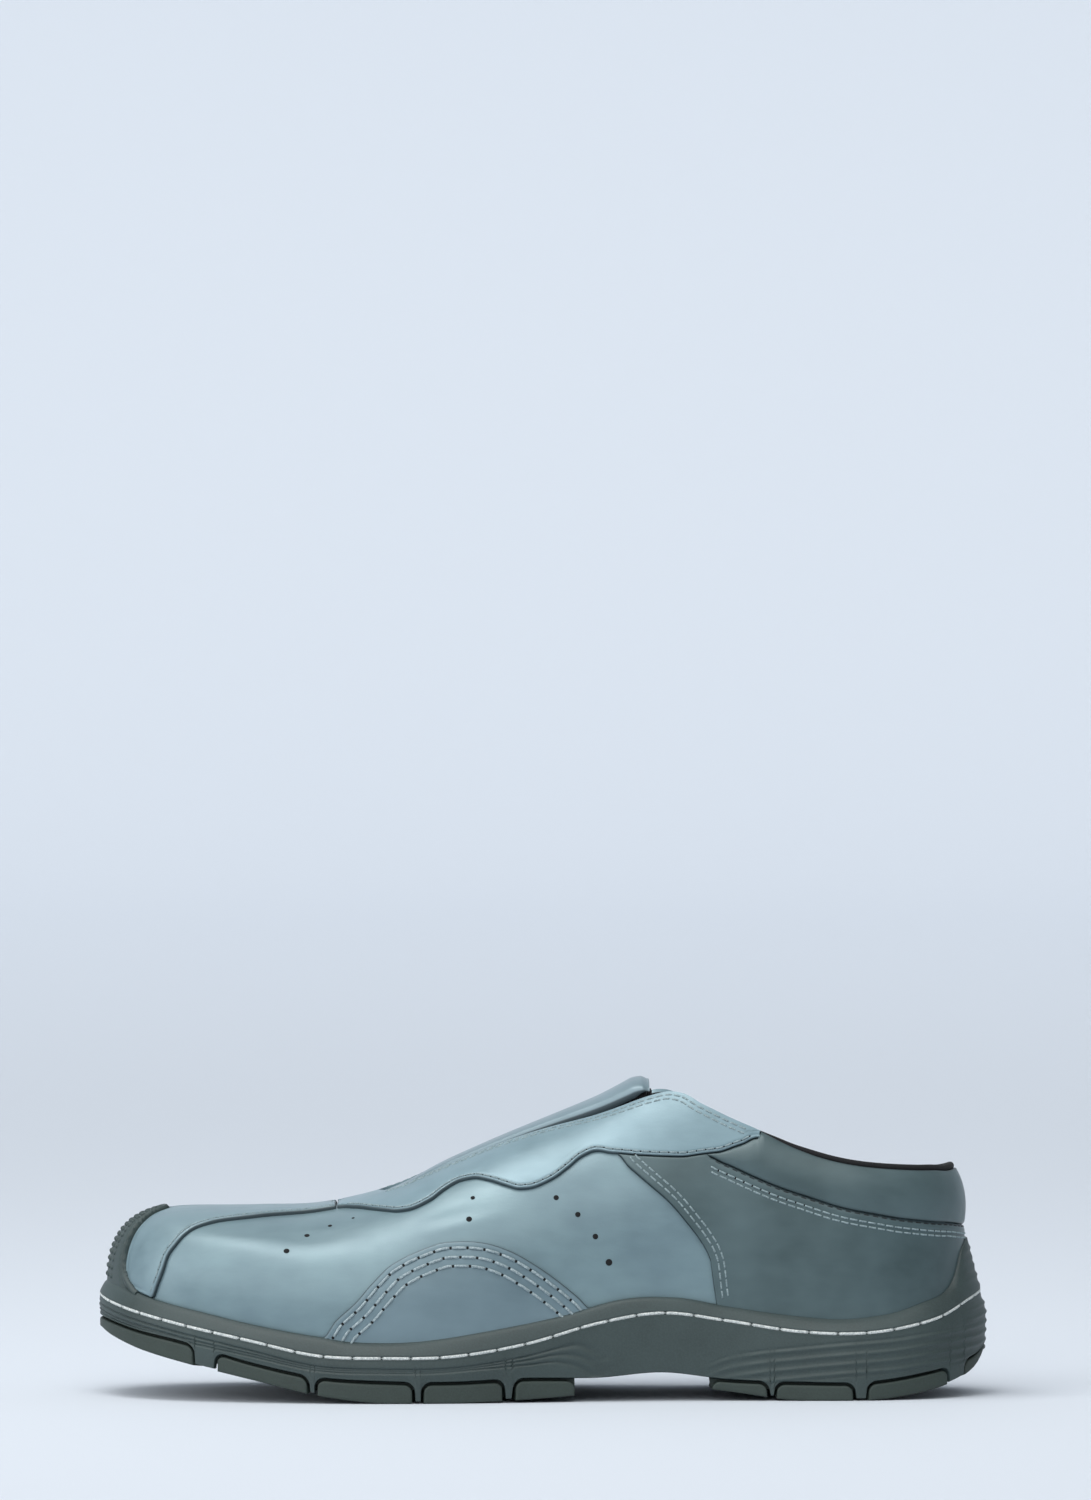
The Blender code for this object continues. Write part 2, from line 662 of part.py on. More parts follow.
def midsole():
    colour = (0.055, 0.075, 0.075)
    body = finish(rings(round_heel(SOLE_STEPS), cup_profile, True), "midsole", colour, 0.6)
    extras = []
    bumper = shell(
        both_sides((0.0, 0.35, 0.65, 0.85, 1.0, 1.08, 1.15, 1.22)),
        lambda s: 0.045,
        lambda s: along(BUMPER, s) - margin(s),
        lambda s, t: 2 * GAP,
        lambda s, t: 2 * GAP + BUMPER_WALL * (1 - 0.35 * max(0.0, 8 * t - 7)),
        8,
    )
    extras.append(finish(bumper, "bumper", colour, 0.6))
    for start, end in sides(BRIDGES):
        stations = steps_between(start, end, 2)
        bridge = block(stations, LUG_INSET + BRIDGE_DEPTH, LUG_INSET, BRIDGE_CLEARANCE, BRIDGE_ROOT)
        extras.append(finish(bridge, "bridge", colour, 0.6))
    fuse(body, extras)
    return body


# Treads: a plate under the forefoot and one under the heel, with lugs and cross bars
def tread(name, span, closed_end, lugs, wrap, bars):
    colour = (0.04, 0.06, 0.05)

    def plate_profile(station):
        pair = (station, ROUND - station)
        top = [hung(s, flare(s) - TREAD_INSET, "under", -GAP) for s in pair]
        bottom = [hung(s, flare(s) - TREAD_INSET, "under", -GAP - TREAD_PLATE) for s in pair]
        return [middle(top), top[0], bottom[0], middle(bottom)]

    steps = steps_between(span[0], span[1], 2 * round(span[1] - span[0]))
    stations = both_sides(steps) if closed_end == "toe" else round_heel(steps)
    body = finish(rings(stations, plate_profile, False), name, colour, 0.7)
    extras = []
    for start, end in sides(lugs) + [wrap]:
        count = max(2, round(2.4 * (end - start)))
        rows = 4 if (start, end) == wrap else 1
        lug = block(steps_between(start, end, count), LUG_DEPTH, LUG_INSET, 0.0, -GAP - LUG_GROOVE, rows)
        extras.append(finish(lug, "lug", colour, 0.7))
    for start, end in bars:
        bar = slab(2, 1)
        for vert in bar.verts:
            station = start + (end - start) * vert.co.x / 2
            place = station if vert.co.y < 0.5 else ROUND - station
            name, rise = ("under", -GAP - 2 * LUG_GROOVE) if vert.co.z > 0.5 else ("ground", BAR_RISE)
            vert.co = hung(place, flare(station) - LUG_DEPTH + BAR_OVERLAP, name, rise)
        extras.append(finish(bar, "bar", colour, 0.7))
    fuse(body, extras)
    return body


upper()
overlays()
strap()
gore()
insole()
midsole()
tread("tread_forefoot", (0.0, TREAD_FRONT_END), "toe", LUGS_FRONT, (-TOE_LUG_END, TOE_LUG_END), BARS_FRONT)
tread(
    "tread_heel", (TREAD_HEEL_START, float(HEEL)), "heel", LUGS_HEEL,
    (HEEL_LUG_START, ROUND - HEEL_LUG_START), BARS_HEEL,
)

# The origin is on the floor under the middle of the sole's outline
outline = [vert.co for vert in bpy.data.objects["midsole"].data.vertices]
middle_x = (min(co.x for co in outline) + max(co.x for co in outline)) / 2
middle_y = (min(co.y for co in outline) + max(co.y for co in outline)) / 2
for piece in bpy.data.objects:
    piece.location = (-middle_x, -middle_y, 0.0)
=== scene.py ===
import bpy
import bmesh
import math
import numpy as np
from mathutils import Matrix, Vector


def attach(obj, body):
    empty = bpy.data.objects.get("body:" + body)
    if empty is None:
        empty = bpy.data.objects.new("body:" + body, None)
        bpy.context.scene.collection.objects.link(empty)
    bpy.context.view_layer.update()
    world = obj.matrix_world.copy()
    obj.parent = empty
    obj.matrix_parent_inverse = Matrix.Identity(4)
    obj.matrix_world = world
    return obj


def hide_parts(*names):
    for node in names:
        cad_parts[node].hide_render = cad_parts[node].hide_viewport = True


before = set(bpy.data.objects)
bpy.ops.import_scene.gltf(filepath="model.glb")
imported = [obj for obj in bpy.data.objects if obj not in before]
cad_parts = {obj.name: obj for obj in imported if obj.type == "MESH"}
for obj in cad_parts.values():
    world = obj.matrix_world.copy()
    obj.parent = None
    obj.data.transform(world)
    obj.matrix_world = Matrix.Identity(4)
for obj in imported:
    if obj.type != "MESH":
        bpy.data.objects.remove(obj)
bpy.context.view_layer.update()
print("frame loaded")

# The shoe's own sizes, in metres, as the frame has them
shoe = {
    "soleLength": 0.300,
    "ballWidth": 0.093,
    "instepRise": 0.0932,
    "seatHeight": 0.020,
    "soleFlare": 0.006,
    "gap": 0.0003,
    "wall": 0.002,
    "lipWidth": 0.0019,
    "underBevel": 0.0011,
}

# Sections of the last: x, half widths, crest and feather as shares of the sizes above
lastColumns = ("x", "lateral", "medial", "crestX", "crest", "feather", "fullness", "bulge")
lastRows = (
    (-0.4817, -0.032, 0.032, -0.3733, 0.448, 1.350, 3.3, 0.02),  # toe apex
    (-0.4683, 0.161, 0.226, -0.3700, 0.448, 1.300, 3.2, 0.03),
    (-0.4367, 0.306, 0.349, -0.3633, 0.448, 1.180, 3.0, 0.04),
    (-0.3867, 0.409, 0.430, -0.3467, 0.448, 1.000, 2.8, 0.06),
    (-0.3200, 0.478, 0.473, -0.3133, 0.450, 0.790, 2.7, 0.08),
    (-0.2467, 0.516, 0.489, -0.2467, 0.459, 0.630, 2.6, 0.09),  # ball
    (-0.1733, 0.527, 0.473, -0.1733, 0.513, 0.575, 2.6, 0.09),
    (-0.1000, 0.511, 0.435, -0.1000, 0.617, 0.590, 2.6, 0.08),
    (-0.0200, 0.473, 0.392, -0.0200, 0.725, 0.690, 2.6, 0.07),
    (0.0600, 0.430, 0.360, 0.0600, 0.815, 0.850, 2.6, 0.06),  # waist
    (0.1333, 0.398, 0.344, 0.1333, 0.933, 0.960, 2.6, 0.06),
    (0.2067, 0.376, 0.344, 0.2067, 0.998, 0.990, 2.6, 0.07),
    (0.2867, 0.366, 0.349, 0.2867, 0.939, 0.990, 2.6, 0.08),
    (0.3600, 0.349, 0.339, 0.3367, 0.901, 1.000, 2.6, 0.08),
    (0.4233, 0.269, 0.263, 0.3433, 0.923, 1.015, 2.6, 0.07),
    (0.4600, 0.134, 0.134, 0.3467, 0.955, 1.030, 2.6, 0.06),
    (0.4707, 0.000, 0.000, 0.3467, 0.976, 1.035, 2.6, 0.05),  # heel back
)
soleColumns = ("stitch", "under", "ground", "flare", "tuck")
soleRows = (
    (1.675, 1.325, 1.125, 0.767, 0.05),
    (1.595, 1.280, 1.020, 0.833, 0.05),
    (1.450, 1.150, 0.830, 0.917, 0.05),
    (1.260, 0.980, 0.625, 0.967, 0.05),
    (1.040, 0.680, 0.390, 1.000, 0.05),
    (0.800, 0.445, 0.130, 1.000, 0.05),
    (0.760, 0.375, 0.000, 1.000, 0.05),
    (0.785, 0.360, 0.000, 0.967, 0.05),
    (0.980, 0.410, 0.050, 0.867, 0.05),
    (1.310, 0.400, 0.140, 0.767, 0.04),
    (1.475, 0.480, 0.270, 0.750, 0.04),
    (1.340, 0.360, 0.160, 0.833, 0.04),
    (1.160, 0.315, 0.000, 1.000, 0.05),
    (1.135, 0.315, 0.000, 1.100, 0.10),
    (1.315, 0.470, 0.150, 1.200, 0.20),
    (1.625, 0.675, 0.425, 1.333, 0.30),
    (1.740, 0.875, 0.750, 1.433, 0.33),
)
heelStation = len(lastRows) - 1
lap = 2 * heelStation  # stations once round the feather line

# Seams: station round the shoe, then way up the last
seams = {
    "rim": (
        (0.0, 0.100), (1.4, 0.103), (2.25, 0.092), (3.0, 0.092), (4.0, 0.083), (5.0, 0.074), (5.5, 0.062),
        (6.5, 0.055), (7.5, 0.060), (8.5, 0.066), (9.3, 0.076), (10.2, 0.063), (11.0, 0.043), (12.0, 0.030),
        (12.6, 0.026), (13.3, 0.032), (14.0, 0.050), (14.4, 0.060), (14.7, 0.076), (14.95, 0.106),
        (15.15, 0.140), (15.5, 0.160), (16.0, 0.168),
    ),
    "bumper": (
        (0.0, 0.860), (0.35, 0.845), (0.65, 0.800), (0.85, 0.690), (1.0, 0.580), (1.08, 0.480),
        (1.15, 0.360), (1.22, 0.200), (1.32, 0.110),
    ),
    "toe": (
        (2.12, 0.095), (2.25, 0.169), (2.35, 0.262), (2.4, 0.359), (2.5, 0.438), (2.6, 0.522),
        (2.75, 0.605), (2.95, 0.661), (3.25, 0.718), (3.8, 0.774), (4.75, 0.852), (5.25, 0.870),
    ),
    "wing": (
        (5.05, 0.072), (5.25, 0.133), (5.55, 0.202), (5.8, 0.276), (6.1, 0.345), (6.45, 0.372),
        (6.8, 0.379), (7.15, 0.359), (7.45, 0.329), (7.8, 0.276), (8.15, 0.212), (8.5, 0.146),
        (8.75, 0.100), (8.95, 0.068),
    ),
    "saddle": (
        (5.25, 0.868), (5.55, 0.808), (5.75, 0.751), (6.0, 0.688), (6.2, 0.645), (6.45, 0.622), (6.7, 0.632),
        (6.9, 0.665), (7.1, 0.685), (7.3, 0.668), (7.5, 0.618), (7.75, 0.548), (7.95, 0.505), (8.15, 0.492),
        (8.4, 0.505), (8.65, 0.542), (8.8, 0.570), (8.95, 0.578), (9.25, 0.532), (9.7, 0.468),
        (10.05, 0.435), (10.45, 0.412), (10.85, 0.409), (11.2, 0.435), (11.45, 0.468),
    ),
    "topline": (
        (5.88, 1.000), (6.0, 0.930), (6.3, 0.900), (7.0, 0.888), (7.5, 0.882), (8.0, 0.862), (8.5, 0.842),
        (9.0, 0.806), (9.5, 0.765), (9.85, 0.742), (10.1, 0.726), (10.35, 0.681), (10.65, 0.598),
        (11.1, 0.525), (11.5, 0.494), (11.75, 0.478), (12.0, 0.465), (12.5, 0.446), (13.1, 0.431),
        (13.9, 0.404), (14.5, 0.388), (15.0, 0.374), (16.0, 0.366),
    ),
    "quarter": (
        (9.3, 0.520), (9.5, 0.445), (9.8, 0.359), (10.15, 0.279), (10.4, 0.219), (10.6, 0.173),
        (10.75, 0.129), (10.85, 0.045),
    ),
    "collar": (
        (10.65, 0.402), (10.95, 0.372), (11.3, 0.343), (11.65, 0.323), (12.05, 0.306), (12.6, 0.282),
        (13.1, 0.266), (13.7, 0.242), (14.6, 0.218), (16.0, 0.196),
    ),
    "medialDrop": (  # how far the medial collar sits below the lateral one
        (9.85, 0.0), (10.35, 0.040), (11.2, 0.046), (12.1, 0.052), (13.1, 0.048), (13.7, 0.040),
        (14.4, 0.022), (15.2, 0.006), (16.0, 0.0),
    ),
    "bumperEdge": (  # the bumper's edge with its fillet into the rim
        (0.0, 0.860), (0.35, 0.845), (0.65, 0.800), (0.85, 0.690), (1.0, 0.580), (1.08, 0.480),
        (1.15, 0.360), (1.20, 0.272), (1.28, 0.205), (1.40, 0.162), (1.55, 0.135), (1.75, 0.112),
    ),
    "strapEdge": ((6.05, 0.955), (7.0, 0.930), (8.0, 0.905), (9.0, 0.860), (9.8, 0.820)),
}


def roundValues(rows, columns, name):
    # a column of a table, once round the shoe
    if name == "y":
        lateral = [-row[columns.index("lateral")] for row in rows]
        medial = [row[columns.index("medial")] for row in rows]
        return np.array(lateral + medial[-2:0:-1])
    values = [row[columns.index(name)] for row in rows]
    return np.array(values + values[-2:0:-1])


roundTables = {name: roundValues(lastRows, lastColumns, name) for name in lastColumns + ("y",)}
roundTables.update({name: roundValues(soleRows, soleColumns, name) for name in soleColumns})


def tableAt(name, station):
    # smooth curve through a table's rows
    values = roundTables[name]
    station = np.mod(np.asarray(station, float), lap)
    low = np.floor(station).astype(int)
    part = station - low
    a, b, c, d = (values[(low + k) % lap] for k in (-1, 0, 1, 2))
    return b + 0.5 * part * (c - a + part * (2 * a - 5 * b + 4 * c - d + part * (3 * b - 3 * c + d - a)))


def foldStation(station):
    return np.abs(np.mod(np.asarray(station, float) + heelStation, lap) - heelStation)


def smoothThrough(points, place):
    # monotone curve through pairs of numbers
    x = np.array([p[0] for p in points], float)
    y = np.array([p[1] for p in points], float)
    slope = np.diff(y) / np.diff(x)
    tangent = np.zeros(len(x))
    same = slope[1:] * slope[:-1] > 0
    total = np.where(same, slope[1:] + slope[:-1], 1.0)
    tangent[1:-1] = np.where(same, 2 * slope[1:] * slope[:-1] / total, 0.0)
    place = np.clip(place, x[0], x[-1])
    k = np.clip(np.searchsorted(x, place, side="right") - 1, 0, len(x) - 2)
    width = x[k + 1] - x[k]
    t = (place - x[k]) / width
    start = y[k] * (1 + 2 * t) * (1 - t) ** 2 + tangent[k] * width * t * (1 - t) ** 2
    return start + y[k + 1] * (3 - 2 * t) * t ** 2 + tangent[k + 1] * width * (t - 1) * t ** 2


def seamAt(name, station):
    return smoothThrough(seams[name], foldStation(station))


def stack(x, y, z):
    return np.stack(np.broadcast_arrays(x, y, z), axis=-1)


def featherAt(station):
    return stack(
        tableAt("x", station) * shoe["soleLength"],
        tableAt("y", station) * shoe["ballWidth"],
        tableAt("feather", station) * shoe["seatHeight"],
    )


def unit(vectors):
    return vectors / np.maximum(np.linalg.norm(vectors, axis=-1, keepdims=True), 1e-12)


def outlineAt(station, out):
    # the feather line moved outward in plan
    run = featherAt(station + 0.01) - featherAt(station - 0.01)
    outward = unit(stack(run[..., 1], -run[..., 0], 0.0))
    return featherAt(station) + outward * np.asarray(out)[..., None]


everyStation = np.linspace(0, lap, 1281)
soleEdge = outlineAt(everyStation, tableAt("flare", everyStation) * shoe["soleFlare"])
frameShift = -0.5 * (soleEdge.min(axis=0) + soleEdge.max(axis=0))
frameShift[2] = 0.0


def lastAt(station, way):
    station, way = np.broadcast_arrays(np.asarray(station, float), np.asarray(way, float))
    ramp = np.clip((way - 0.08) / 0.32, 0, 1)
    sunk = seamAt("medialDrop", station) * ramp * ramp * (3 - 2 * ramp)
    way = np.where(np.mod(station, lap) > heelStation, way - sunk, way)
    foot = featherAt(station)
    crestX = tableAt("crestX", station) * shoe["soleLength"]
    crestZ = shoe["seatHeight"] + tableAt("crest", station) * shoe["instepRise"]
    angle = np.clip(way, 1e-6, 1 - 1e-9) * math.pi / 2
    power = 2 / tableAt("fullness", station)
    out = np.cos(angle) ** power * (1 + tableAt("bulge", station) * np.sin(2 * angle))
    out = np.where(way >= 1, 0.0, out)
    up = np.where(way >= 1, 1.0, np.sin(angle) ** power)
    x = crestX + (foot[..., 0] - crestX) * out
    return stack(x, foot[..., 1] * out, foot[..., 2] + (crestZ - foot[..., 2]) * up)


def plainNormal(station, way):
    step = 0.002
    way = np.clip(way, step, 1 - step)
    around = lastAt(station + step, way) - lastAt(station - step, way)
    upward = lastAt(station, way + step) - lastAt(station, way - step)
    return unit(np.cross(around, upward))


def normalAt(station, way):
    station, way = np.broadcast_arrays(np.asarray(station, float), np.asarray(way, float))
    near = 0.985
    own = plainNormal(station, np.minimum(way, near))
    shared = unit(plainNormal(station, near + 0 * way) + plainNormal(lap - station, near + 0 * way))
    share = np.clip((way - near) / (1 - near), 0, 1)[..., None]
    return unit(own * (1 - share) + shared * share)


def skinAt(station, way, out):
    return lastAt(station, way) + normalAt(station, way) * np.asarray(out)[..., None]


def gridOf(columns, rows, layers=False):
    # a flat grid whose corners carry their column and row number; a second layer closes it
    bm = bmesh.new()
    bmesh.ops.create_grid(bm, x_segments=columns, y_segments=rows, size=0.5)
    for vert in bm.verts:
        vert.co.x = round((vert.co.x + 0.5) * columns)
        vert.co.y = round((vert.co.y + 0.5) * rows)
    if layers:
        made = bmesh.ops.extrude_face_region(bm, geom=bm.faces[:], use_keep_orig=True)
        for item in made["geom"]:
            if isinstance(item, bmesh.types.BMVert):
                item.co.z = 1.0
    return bm


def shapeGrid(bm, points, shades=None):
    # moves every corner of a grid to its point; points run column, row, layer
    # shades fill the edge layer, which the leather darkens as inked cut edge and painted shade of the step
    # into the seam
    shade = bm.verts.layers.float.new("edge") if shades is not None else None
    for vert in bm.verts:
        i, j, k = round(vert.co.x), round(vert.co.y), round(vert.co.z)
        if shade is not None:
            vert[shade] = float(shades[i, j])
        vert.co = points[i, j, k]
    return bm


def dropWalls(bm, test):
    doomed = [face for face in bm.faces if all(test(vert.co) for vert in face.verts)]
    bmesh.ops.delete(bm, geom=doomed, context="FACES_ONLY")
    bmesh.ops.delete(bm, geom=[item for item in bm.edges if not item.link_faces], context="EDGES")


def joinMeshes(parts):
    # several bmeshes as one
    whole = parts[0]
    for part in parts[1:]:
        spare = bpy.data.meshes.new("spare")
        part.to_mesh(spare)
        part.free()
        whole.from_mesh(spare)
        bpy.data.meshes.remove(spare)
    return whole


def makePiece(bm, name, material, slotName, nodes=(), smooth=40, merge=1e-6):
    bmesh.ops.remove_doubles(bm, verts=bm.verts, dist=merge)
    bmesh.ops.dissolve_degenerate(bm, edges=bm.edges, dist=1e-7)
    bmesh.ops.translate(bm, verts=bm.verts, vec=Vector(frameShift))
    bmesh.ops.recalc_face_normals(bm, faces=bm.faces)
    mesh = bpy.data.meshes.new(name)
    bm.to_mesh(mesh)
    bm.free()
    mesh.shade_smooth()
    mesh.set_sharp_from_angle(angle=math.radians(smooth))
    piece = bpy.data.objects.new(name, mesh)
    bpy.context.scene.collection.objects.link(piece)
    mesh.materials.append(material)
    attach(piece, "root")
    if nodes:
        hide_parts(*nodes)
    return piece


# Curves on the last, as arrays of station and way
def seamCurve(name, start, end):
    station = np.linspace(start, end, 600)
    return np.stack([station, seamAt(name, station)], axis=-1)


def lineCurve(start, end):
    t = np.linspace(0, 1, 60)[:, None]
    return np.array(start) * (1 - t) + np.array(end) * t


def mirrored(curve):
    # the same curve on the other side, run the other way
    return np.stack([lap - curve[::-1, 0], curve[::-1, 1]], axis=-1)


def lengthsAlong(points):
    step = np.linalg.norm(np.diff(points, axis=0), axis=1)
    return np.concatenate([[0.0], np.cumsum(step)])


def evenly(curve, count=None, spacing=None):
    # resamples a curve by its length on the last
    run = lengthsAlong(lastAt(curve[:, 0], curve[:, 1]))
    count = count or max(4, int(run[-1] / spacing))
    place = np.linspace(0, run[-1], count + 1)
    return np.stack([np.interp(place, run, curve[:, k]) for k in (0, 1)], axis=-1)


def inwardOf(curve, side):
    # unit direction on the last, square to a curve; side +1 is up for a curve run by rising station
    points = lastAt(curve[:, 0], curve[:, 1])
    run = unit(np.gradient(points, axis=0))
    return unit(np.cross(normalAt(curve[:, 0], curve[:, 1]), run)) * side


def moveOn(curve, direction, distance):
    # points of the last at a distance from a curve, as station and way
    distance = np.broadcast_to(distance, curve.shape[:1])
    target = lastAt(curve[:, 0], curve[:, 1]) + direction * distance[:, None]
    place = curve.copy()
    step = 0.001
    for _ in range(3):
        station, way = place[:, 0], place[:, 1]
        alongStation = (lastAt(station + step, way) - lastAt(station - step, way)) / (2 * step)
        low, high = np.clip(way - step, 0, 1), np.clip(way + step, 0, 1)
        alongWay = (lastAt(station, high) - lastAt(station, low)) / (high - low)[:, None]
        rest = target - lastAt(station, way)
        aa, bb = (alongStation ** 2).sum(1), (alongWay ** 2).sum(1)
        ab = (alongStation * alongWay).sum(1)
        ar, br = (alongStation * rest).sum(1), (alongWay * rest).sum(1)
        whole = np.maximum(aa * bb - ab * ab, 1e-14)
        place[:, 0] += np.clip((ar * bb - br * ab) / whole, -0.3, 0.3)
        place[:, 1] += np.clip((br * aa - ar * ab) / whole, -0.1, 0.1)
        place[:, 1] = np.clip(place[:, 1], 0.0, 1.0)
    return place


panelSpacing = 0.0012  # between the columns of an overlay
edgeSteps = (0.0, 0.0001, 0.00025, 0.00045, 0.0007, 0.0010, 0.0013, 0.0016, 0.0019, 0.0023, 0.0028, 0.0036)


def roundedWall(distance, spec):
    # wall of a panel that thins in a quarter round towards its edge
    turn = np.clip(distance / spec["round"], 0, 1)
    return spec["wall"] * (0.35 + 0.65 * np.sqrt(1 - (1 - turn) ** 2))


def edgeRise(distance, spec):
    # height of a panel near its cut edge, with a trough under each row of stitches
    rise = roundedWall(distance, spec)
    for row in spec.get("stitches", ()):
        rise = rise - 0.00022 * np.exp(-((distance - row) / 0.0004) ** 2)
    return rise


def panelGrid(lowCurve, highCurve, spec, crested=False, corners=(), firstOnCrest=False):
    # leather between two curves: rows run square to the low edge, then across to the high edge
    length = lengthsAlong(lastAt(lowCurve[:, 0], lowCurve[:, 1]))[-1]
    count = max(8, int(length / panelSpacing))
    low = evenly(lowCurve, count)
    run = lengthsAlong(lastAt(low[:, 0], low[:, 1]))
    if "match" in spec:
        # pairs of places on the low and the high curve, as shares of their lengths
        share = smoothThrough(spec["match"], run / run[-1])
    else:
        share = run / run[-1]
    highRun = lengthsAlong(lastAt(highCurve[:, 0], highCurve[:, 1]))
    high = np.stack([np.interp(share * highRun[-1], highRun, highCurve[:, k]) for k in (0, 1)], axis=-1)
    lowIn = inwardOf(low, 1)
    highIn = inwardOf(evenly(highCurve, count), -1) if not crested else None
    reach = np.ones(len(run))
    for corner in corners:
        # a strip narrows towards a corner of its edge
        reach = np.minimum(reach, np.clip(np.abs(run - corner * run[-1]) / 0.004, 0.02, 1))
    span = np.linalg.norm(lastAt(low[:, 0], low[:, 1]) - lastAt(high[:, 0], high[:, 1]), axis=1)
    sides = 1 if crested else 2
    reach = np.minimum(reach, 0.9 * span / (sides * edgeSteps[-1]))
    reach = np.maximum(reach, 0.01)
    places, distances = [], []
    for step in edgeSteps:
        places.append(moveOn(low, lowIn, step * reach))
        distances.append(step * reach)
    lastLow = places[-1]
    if crested:
        firstHigh = high
        tail = []
    else:
        tail = [(moveOn(high, highIn, step * reach), step * reach) for step in reversed(edgeSteps)]
        firstHigh = tail[0][0]
    inner = spec.get("rows", 16)
    for k in range(1, inner):
        t = k / inner
        places.append(lastLow * (1 - t) + firstHigh * t)
        away = span * min(t, 1 if crested else 1 - t) * 0.9
        distances.append(np.maximum(edgeSteps[-1] * reach, edgeSteps[-1] * reach + away))
    if crested:
        places.append(high)
        distances.append(np.maximum(span, 0.0))
    for place, distance in tail:
        places.append(place)
        distances.append(distance)
    if firstOnCrest:
        for place in places:
            place[0, 0] = low[0, 0]
    place = np.stack(places, axis=1)
    distance = np.stack(distances, axis=1)
    out = spec["seat"] + edgeRise(distance, spec)
    top = skinAt(place[..., 0], place[..., 1], out)
    base = skinAt(place[..., 0], place[..., 1], np.full(distance.shape, spec["seat"] - 0.0002))
    points = np.stack([base, top], axis=2)
    # darkening at the cut edges: inked edge and painted shade of the step into the seam
    shade = np.exp(-(distance / 0.00045) ** 2)
    bm = gridOf(place.shape[0] - 1, place.shape[1] - 1, True)
    if crested:
        lastRow = place.shape[1] - 1
        onCrest = high[:, 1] > 0.9995
        dropWalls(bm, lambda co: round(co.y) == lastRow and onCrest[round(co.x)])
    if firstOnCrest:
        dropWalls(bm, lambda co: round(co.x) == (0 if firstOnCrest == "first" else place.shape[0] - 1))
    return shapeGrid(bm, points, shade)


def threadTube(curve, spec):
    # one thread that dips into the leather between its stitches
    pitch, radius = spec["pitch"], spec["radius"]
    points = lastAt(curve[:, 0], curve[:, 1])
    run = lengthsAlong(points)
    stitches = max(1, int(run[-1] / pitch))
    perStitch, around = 8, 6
    place = np.linspace(0, stitches * pitch, stitches * perStitch + 1) + 0.5 * (run[-1] - stitches * pitch)
    at = np.stack([np.interp(place, run, curve[:, k]) for k in (0, 1)], axis=-1)
    phase = (np.arange(len(place)) % perStitch) / perStitch
    gapShare = spec.get("gap", 0.18)
    up = np.clip(np.minimum(phase, 1 - phase) / gapShare, 0, 1)
    lift = spec["out"] + radius * (-1.6 + 2.0 * np.sin(up * math.pi / 2))
    center = skinAt(at[:, 0], at[:, 1], lift)
    normal = normalAt(at[:, 0], at[:, 1])
    run3d = unit(np.gradient(center, axis=0))
    across = unit(np.cross(normal, run3d))
    angle = np.linspace(0, 2 * math.pi, around + 1)
    ring = np.cos(angle)[None, :, None] * normal[:, None] + np.sin(angle)[None, :, None] * across[:, None]
    size = radius * np.where(up > 0.01, 1.0, 0.7)
    tube = center[:, None] + ring * size[:, None, None]
    bm = gridOf(len(place) - 1, around)
    return shapeGrid(bm, tube[:, :, None])


def pitDots(curve, spec):
    # dark needle holes between the stitches of a row
    points = lastAt(curve[:, 0], curve[:, 1])
    run = lengthsAlong(points)
    pitch = spec["pitch"]
    stitches = max(1, int(run[-1] / pitch))
    place = np.arange(stitches + 1) * pitch + 0.5 * (run[-1] - stitches * pitch)
    at = np.stack([np.interp(place, run, curve[:, k]) for k in (0, 1)], axis=-1)
    return domes(at, spec["out"] + 0.00002, spec["pit"], 0.00006)


def domes(at, out, radius, height, around=8):
    # low round caps that sit on the last
    center = skinAt(at[:, 0], at[:, 1], out + np.zeros(len(at)))
    normal = normalAt(at[:, 0], at[:, 1])
    sideways = unit(np.cross(normal, np.array([0.0, 0.0, 1.0]) + 0 * normal))
    upward = np.cross(sideways, normal)
    parts = bmesh.new()
    radius = np.broadcast_to(radius, (len(at),))
    for k in range(len(at)):
        made = bmesh.ops.create_uvsphere(parts, u_segments=around, v_segments=5, radius=1.0)
        for vert in made["verts"]:
            co = np.array(vert.co)
            flat = sideways[k] * co[0] * radius[k] + upward[k] * co[1] * radius[k]
            vert.co = center[k] + flat + normal[k] * co[2] * height
    return parts


# Materials
def nodeMaterial(name):
    material = bpy.data.materials.new(name)
    material.use_nodes = True
    tree = material.node_tree
    shader = tree.nodes["Principled BSDF"]
    place = tree.nodes.new("ShaderNodeTexCoord")
    return material, tree, shader, place


def linear(colour):
    # 0-255 screen colour to linear light
    return [((c / 255 + 0.055) / 1.055) ** 2.4 if c > 10 else c / 255 / 12.92 for c in colour] + [1.0]


def addNoise(tree, place, scale, detail=4.0, stretch=(1, 1, 1), rough=0.55):
    mapping = tree.nodes.new("ShaderNodeMapping")
    mapping.inputs["Scale"].default_value = stretch
    tree.links.new(place.outputs["Object"], mapping.inputs["Vector"])
    noise = tree.nodes.new("ShaderNodeTexNoise")
    noise.inputs["Scale"].default_value = scale
    noise.inputs["Detail"].default_value = detail
    noise.inputs["Roughness"].default_value = rough
    tree.links.new(mapping.outputs["Vector"], noise.inputs["Vector"])
    return noise.outputs["Fac"]


def mapRange(tree, value, low, high, toLow, toHigh):
    node = tree.nodes.new("ShaderNodeMapRange")
    for name, number in (("From Min", low), ("From Max", high), ("To Min", toLow), ("To Max", toHigh)):
        node.inputs[name].default_value = number
    tree.links.new(value, node.inputs["Value"])
    return node.outputs["Result"]


